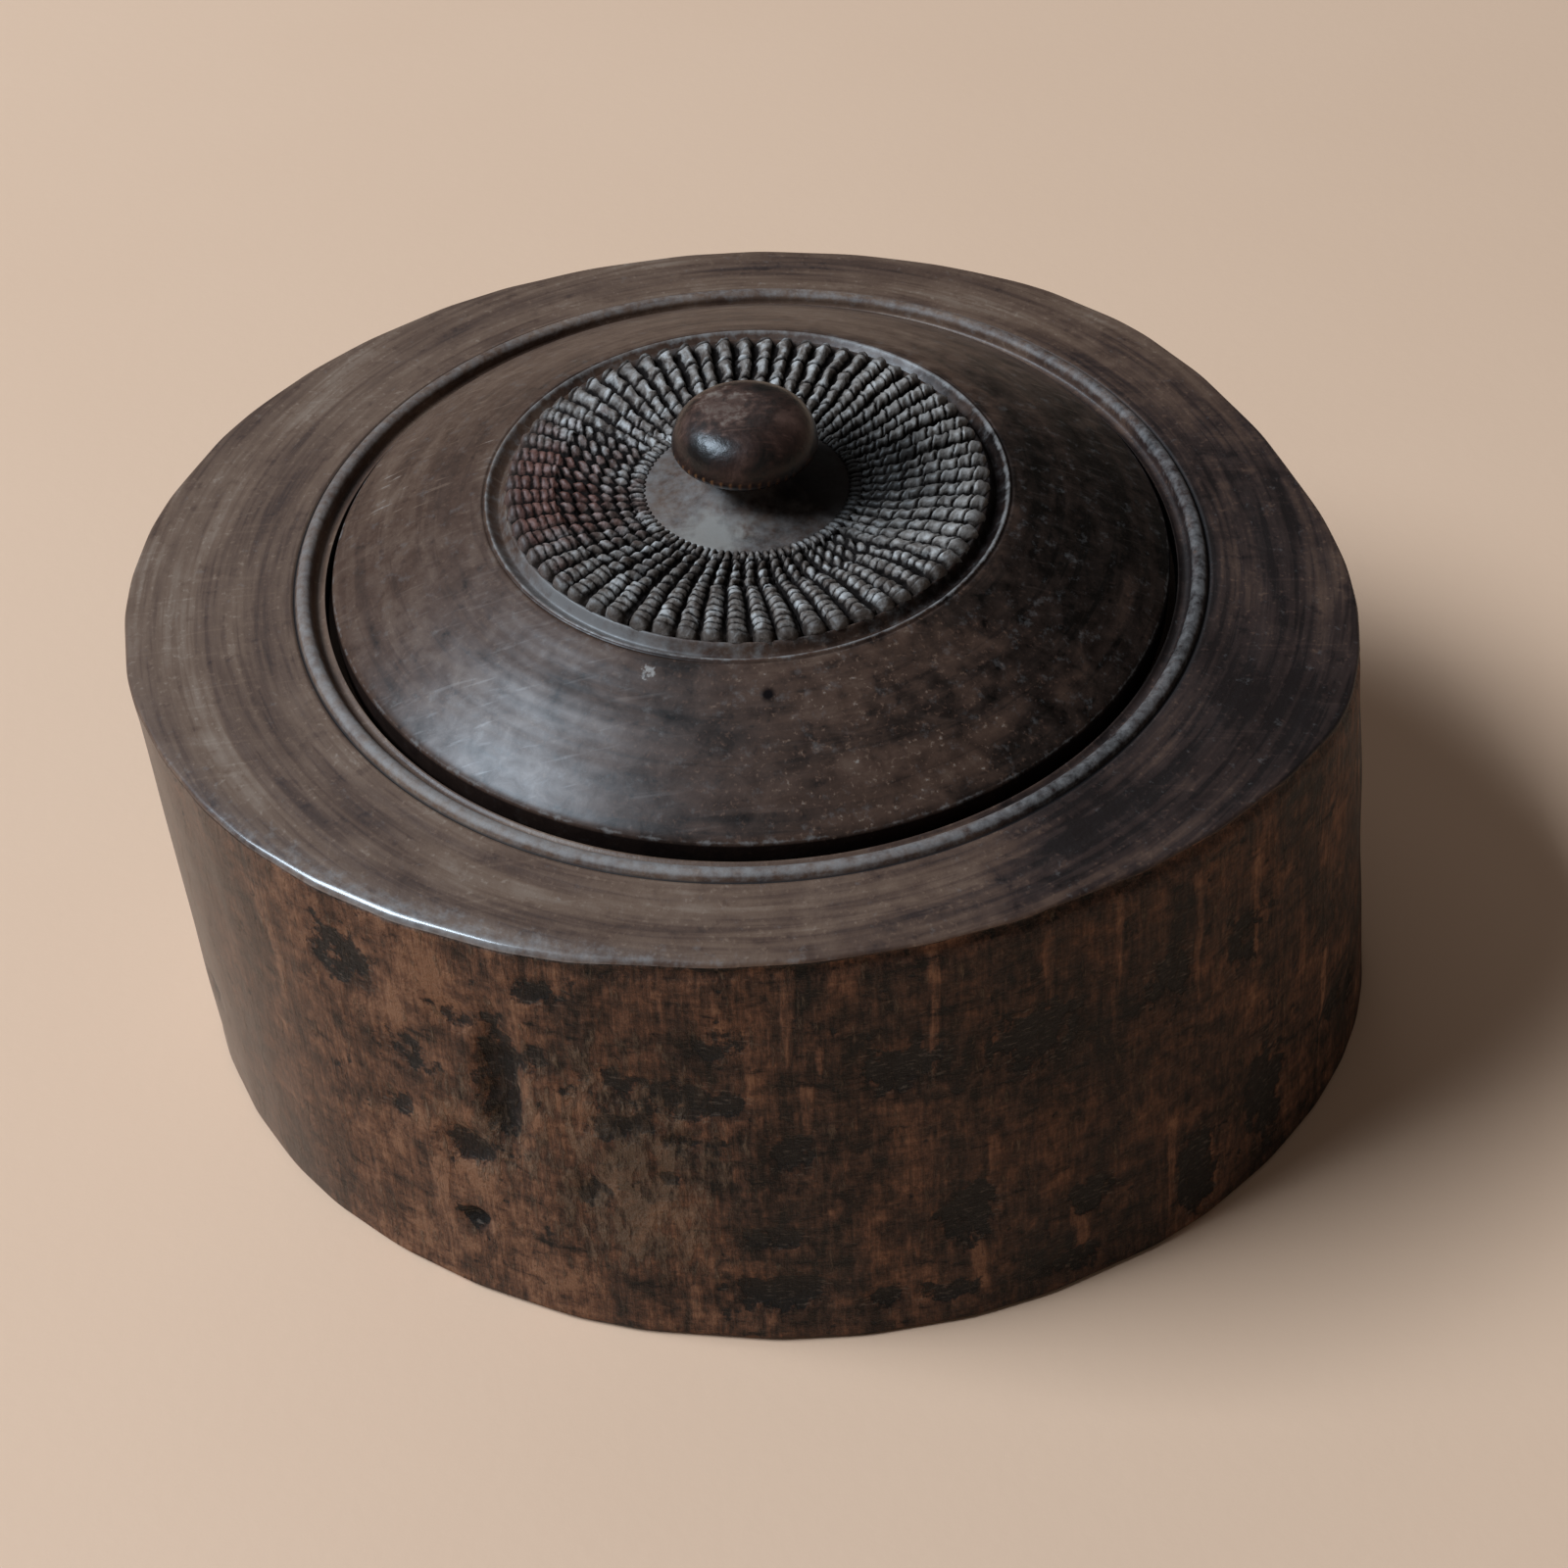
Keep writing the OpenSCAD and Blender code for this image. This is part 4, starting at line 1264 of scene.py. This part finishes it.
def knob_section():
    """Radius, height, wear, ticks and dust of the knob, from the tenon's end to the crown."""
    rows = [(TENON_RADIUS - 0.4, HUB_Z - TENON_LENGTH, 0.0, 0.0, 0.0)]
    rows += [(TENON_RADIUS, HUB_Z - TENON_LENGTH + 0.4, 0.0, 0.0, 0.0)]
    rows += [(TENON_RADIUS, HUB_Z - 0.1, 0.0, 0.0, 0.0), (TENON_RADIUS + 0.2, HUB_Z, 0.0, 0.0, 0.0)]
    rows += [(FOOT_RADIUS - 0.1, HUB_Z, 0.0, 0.0, 1.0), (FOOT_RADIUS, HUB_Z + 0.05, 0.0, 0.0, 1.0)]
    for share in (0.08, 0.18, 0.3, 0.45, 0.65, 1.0):
        radius = NECK_RADIUS + (FOOT_RADIUS - NECK_RADIUS) * (1.0 - share) ** 2.6
        rows.append((radius, HUB_Z - 0.05 + 3.2 * share, 0.0, 0.0, 1.0 - share))
    low = HUB_Z + 3.6
    high = CAP_Z - CAP_EDGE - 0.8
    rows += [(NECK_RADIUS + 0.4, low, 0.0, 0.0, 0.0)]
    for share in (0.25, 0.5, 0.72, 0.9):
        radius = NECK_RADIUS + 0.4 + (KNOB_RADIUS - 1.2 - NECK_RADIUS) * share ** 0.7
        rows.append((radius, low + (high - low) * share, 0.0, 0.3 * (share > 0.6), 0.0))
    rows += [(KNOB_RADIUS - 0.55, high + 0.15, 0.1, 1.0, 0.0)]
    rows += [(KNOB_RADIUS - 0.2, high + 0.6, 0.1, 1.0, 0.0)]
    crown = KNOB_TOP - high - 1.1
    for turn in np.radians(np.linspace(0.0, 88.5, 26)):
        radius = KNOB_RADIUS * math.cos(turn) ** 0.54
        height = high + 1.1 + crown * math.sin(turn) ** 1.05
        ticks = float(height < high + 1.7)
        rows.append((radius, height, 0.15 + 0.4 * ramp_up(height, CAP_Z + 1.5, KNOB_TOP), ticks, 0.0))
    return rows


def make_knob():
    """The knob with its tenon, a little uneven above its foot."""
    rows = knob_section()
    loops = turned([(row[0], row[1]) for row in rows], KNOB_COLUMNS)
    uneven = lumps(loops, 9.0, 1.0) * 0.12 + lumps(loops, 3.0, 6.0) * 0.04
    free = ramp_up(loops[..., 2], HUB_Z + 1.0, HUB_Z + 3.0)[..., None]
    away = np.maximum(np.hypot(loops[..., 0], loops[..., 1]), 1.0)[..., None]
    loops = loops + loops * [1, 1, 0] / away * (uneven[..., None] * free)
    around = np.arange(KNOB_COLUMNS) * 2.0 * math.pi / KNOB_COLUMNS
    teeth = ramp_up(np.sin(around * 48.0), 0.1, 0.8)
    marks = {
        "worn": np.stack([np.full(KNOB_COLUMNS, row[2]) for row in rows]),
        "ticks": np.stack([row[3] * teeth * 0.8 * swell(np.degrees(around), 235.0, 55.0) for row in rows]),
        "dust": np.stack([np.full(KNOB_COLUMNS, row[4]) for row in rows]),
    }
    start = (0, 0, HUB_Z - TENON_LENGTH)
    mesh = skin("knob_skin", start, loops, (0, 0, KNOB_TOP), None, marks)
    knob = piece("knob_cap", mesh, "lid_body", "knob_wood", knob_wood())
    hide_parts("knob")


# Floor, light and camera


def make_floor():
    """The plain pale floor."""
    wood = Wood("pale_floor")
    cloud = speckle(wood.tree, wood.at, 6.0, 4.0)
    colour = blend(wood.tree, cloud, rgb(0.80, 0.51, 0.335), rgb(0.84, 0.55, 0.37))
    fine = speckle(wood.tree, wood.at, 300.0, 3.0)
    material = wood.finish(colour, stretch(wood.tree, cloud, 0.0, 1.0, 0.6, 0.75), fine, 0.05)
    half = 4.0
    mesh = bpy.data.meshes.new("floor")
    corners = [(-half, -half, 0), (half, -half, 0), (half, half, 0), (-half, half, 0)]
    mesh.from_pydata(corners, [], [(0, 1, 2, 3)])
    mesh.materials.append(material)
    floor = bpy.data.objects.new("floor", mesh)
    bpy.context.scene.collection.objects.link(floor)


def aim(place, target):
    """Turns an object so that it looks from a place at a target."""
    away = Vector(target) - Vector(place)
    return Matrix.Translation(Vector(place)) @ away.to_track_quat("-Z", "Y").to_matrix().to_4x4()


def soft_light(name, place, target, size, watts, colour):
    """One soft lamp, aimed at a target."""
    lamp = bpy.data.lights.new(name, "AREA")
    lamp.shape = "RECTANGLE"
    lamp.size, lamp.size_y = size
    lamp.energy = watts
    lamp.color = colour
    light = bpy.data.objects.new(name, lamp)
    light.matrix_world = aim(place, target)
    bpy.context.scene.collection.objects.link(light)


def make_light():
    """A large lamp high at the left, two weak ones and a dim room that looks pale to the camera."""
    middle = (0.0, 0.0, 0.07)
    soft_light("window", (-2.56, -0.22, 3.13), middle, (2.0, 1.4), 210.0, (0.70, 0.85, 1.0))
    soft_light("sky", (-0.45, 1.25, 1.35), middle, (1.2, 1.0), 2.0, (0.9, 0.95, 1.0))
    soft_light("fill", (0.3, -1.7, 0.9), middle, (1.2, 1.0), 0.5, (1.0, 0.93, 0.86))
    world = bpy.data.worlds.new("room")
    world.use_nodes = True
    tree = world.node_tree
    tree.nodes.clear()
    seen = put(tree, "ShaderNodeLightPath").outputs["Is Camera Ray"]
    dim = put(tree, "ShaderNodeBackground", {"Color": rgb(1.0, 0.96, 0.92), "Strength": 0.075}).outputs[0]
    pale = put(tree, "ShaderNodeBackground", {"Color": rgb(0.80, 0.75, 0.69), "Strength": 0.9}).outputs[0]
    mixed = put(tree, "ShaderNodeMixShader", {0: seen, 1: dim, 2: pale}).outputs[0]
    put(tree, "ShaderNodeOutputWorld", {"Surface": mixed})
    bpy.context.scene.world = world
    bpy.context.scene.view_settings.view_transform = "Standard"


def make_camera():
    """The photograph's viewpoint, for a square picture."""
    yaw, pitch, roll = np.radians(CAMERA_TURNS).tolist()
    ahead = Vector((math.sin(yaw) * math.cos(pitch), math.cos(yaw) * math.cos(pitch), -math.sin(pitch)))
    right = Vector((math.cos(yaw), -math.sin(yaw), 0.0))
    up = right.cross(ahead)
    across = math.cos(roll) * right + math.sin(roll) * up
    above = -math.sin(roll) * right + math.cos(roll) * up
    data = bpy.data.cameras.new("photo_view")
    data.sensor_width = SENSOR_WIDTH
    data.lens = LENS_LENGTH
    data.clip_start = 0.01
    camera = bpy.data.objects.new("photo_view", data)
    turn = Matrix((across, above, -ahead)).transposed().to_4x4()
    camera.matrix_world = Matrix.Translation(Vector(CAMERA_PLACE)) @ turn
    bpy.context.scene.collection.objects.link(camera)
    bpy.context.scene.camera = camera


INSIDE_WOOD = hollow_wood()
make_camera()
make_drum()
make_lid()
make_field()
make_knob()
make_floor()
make_light()
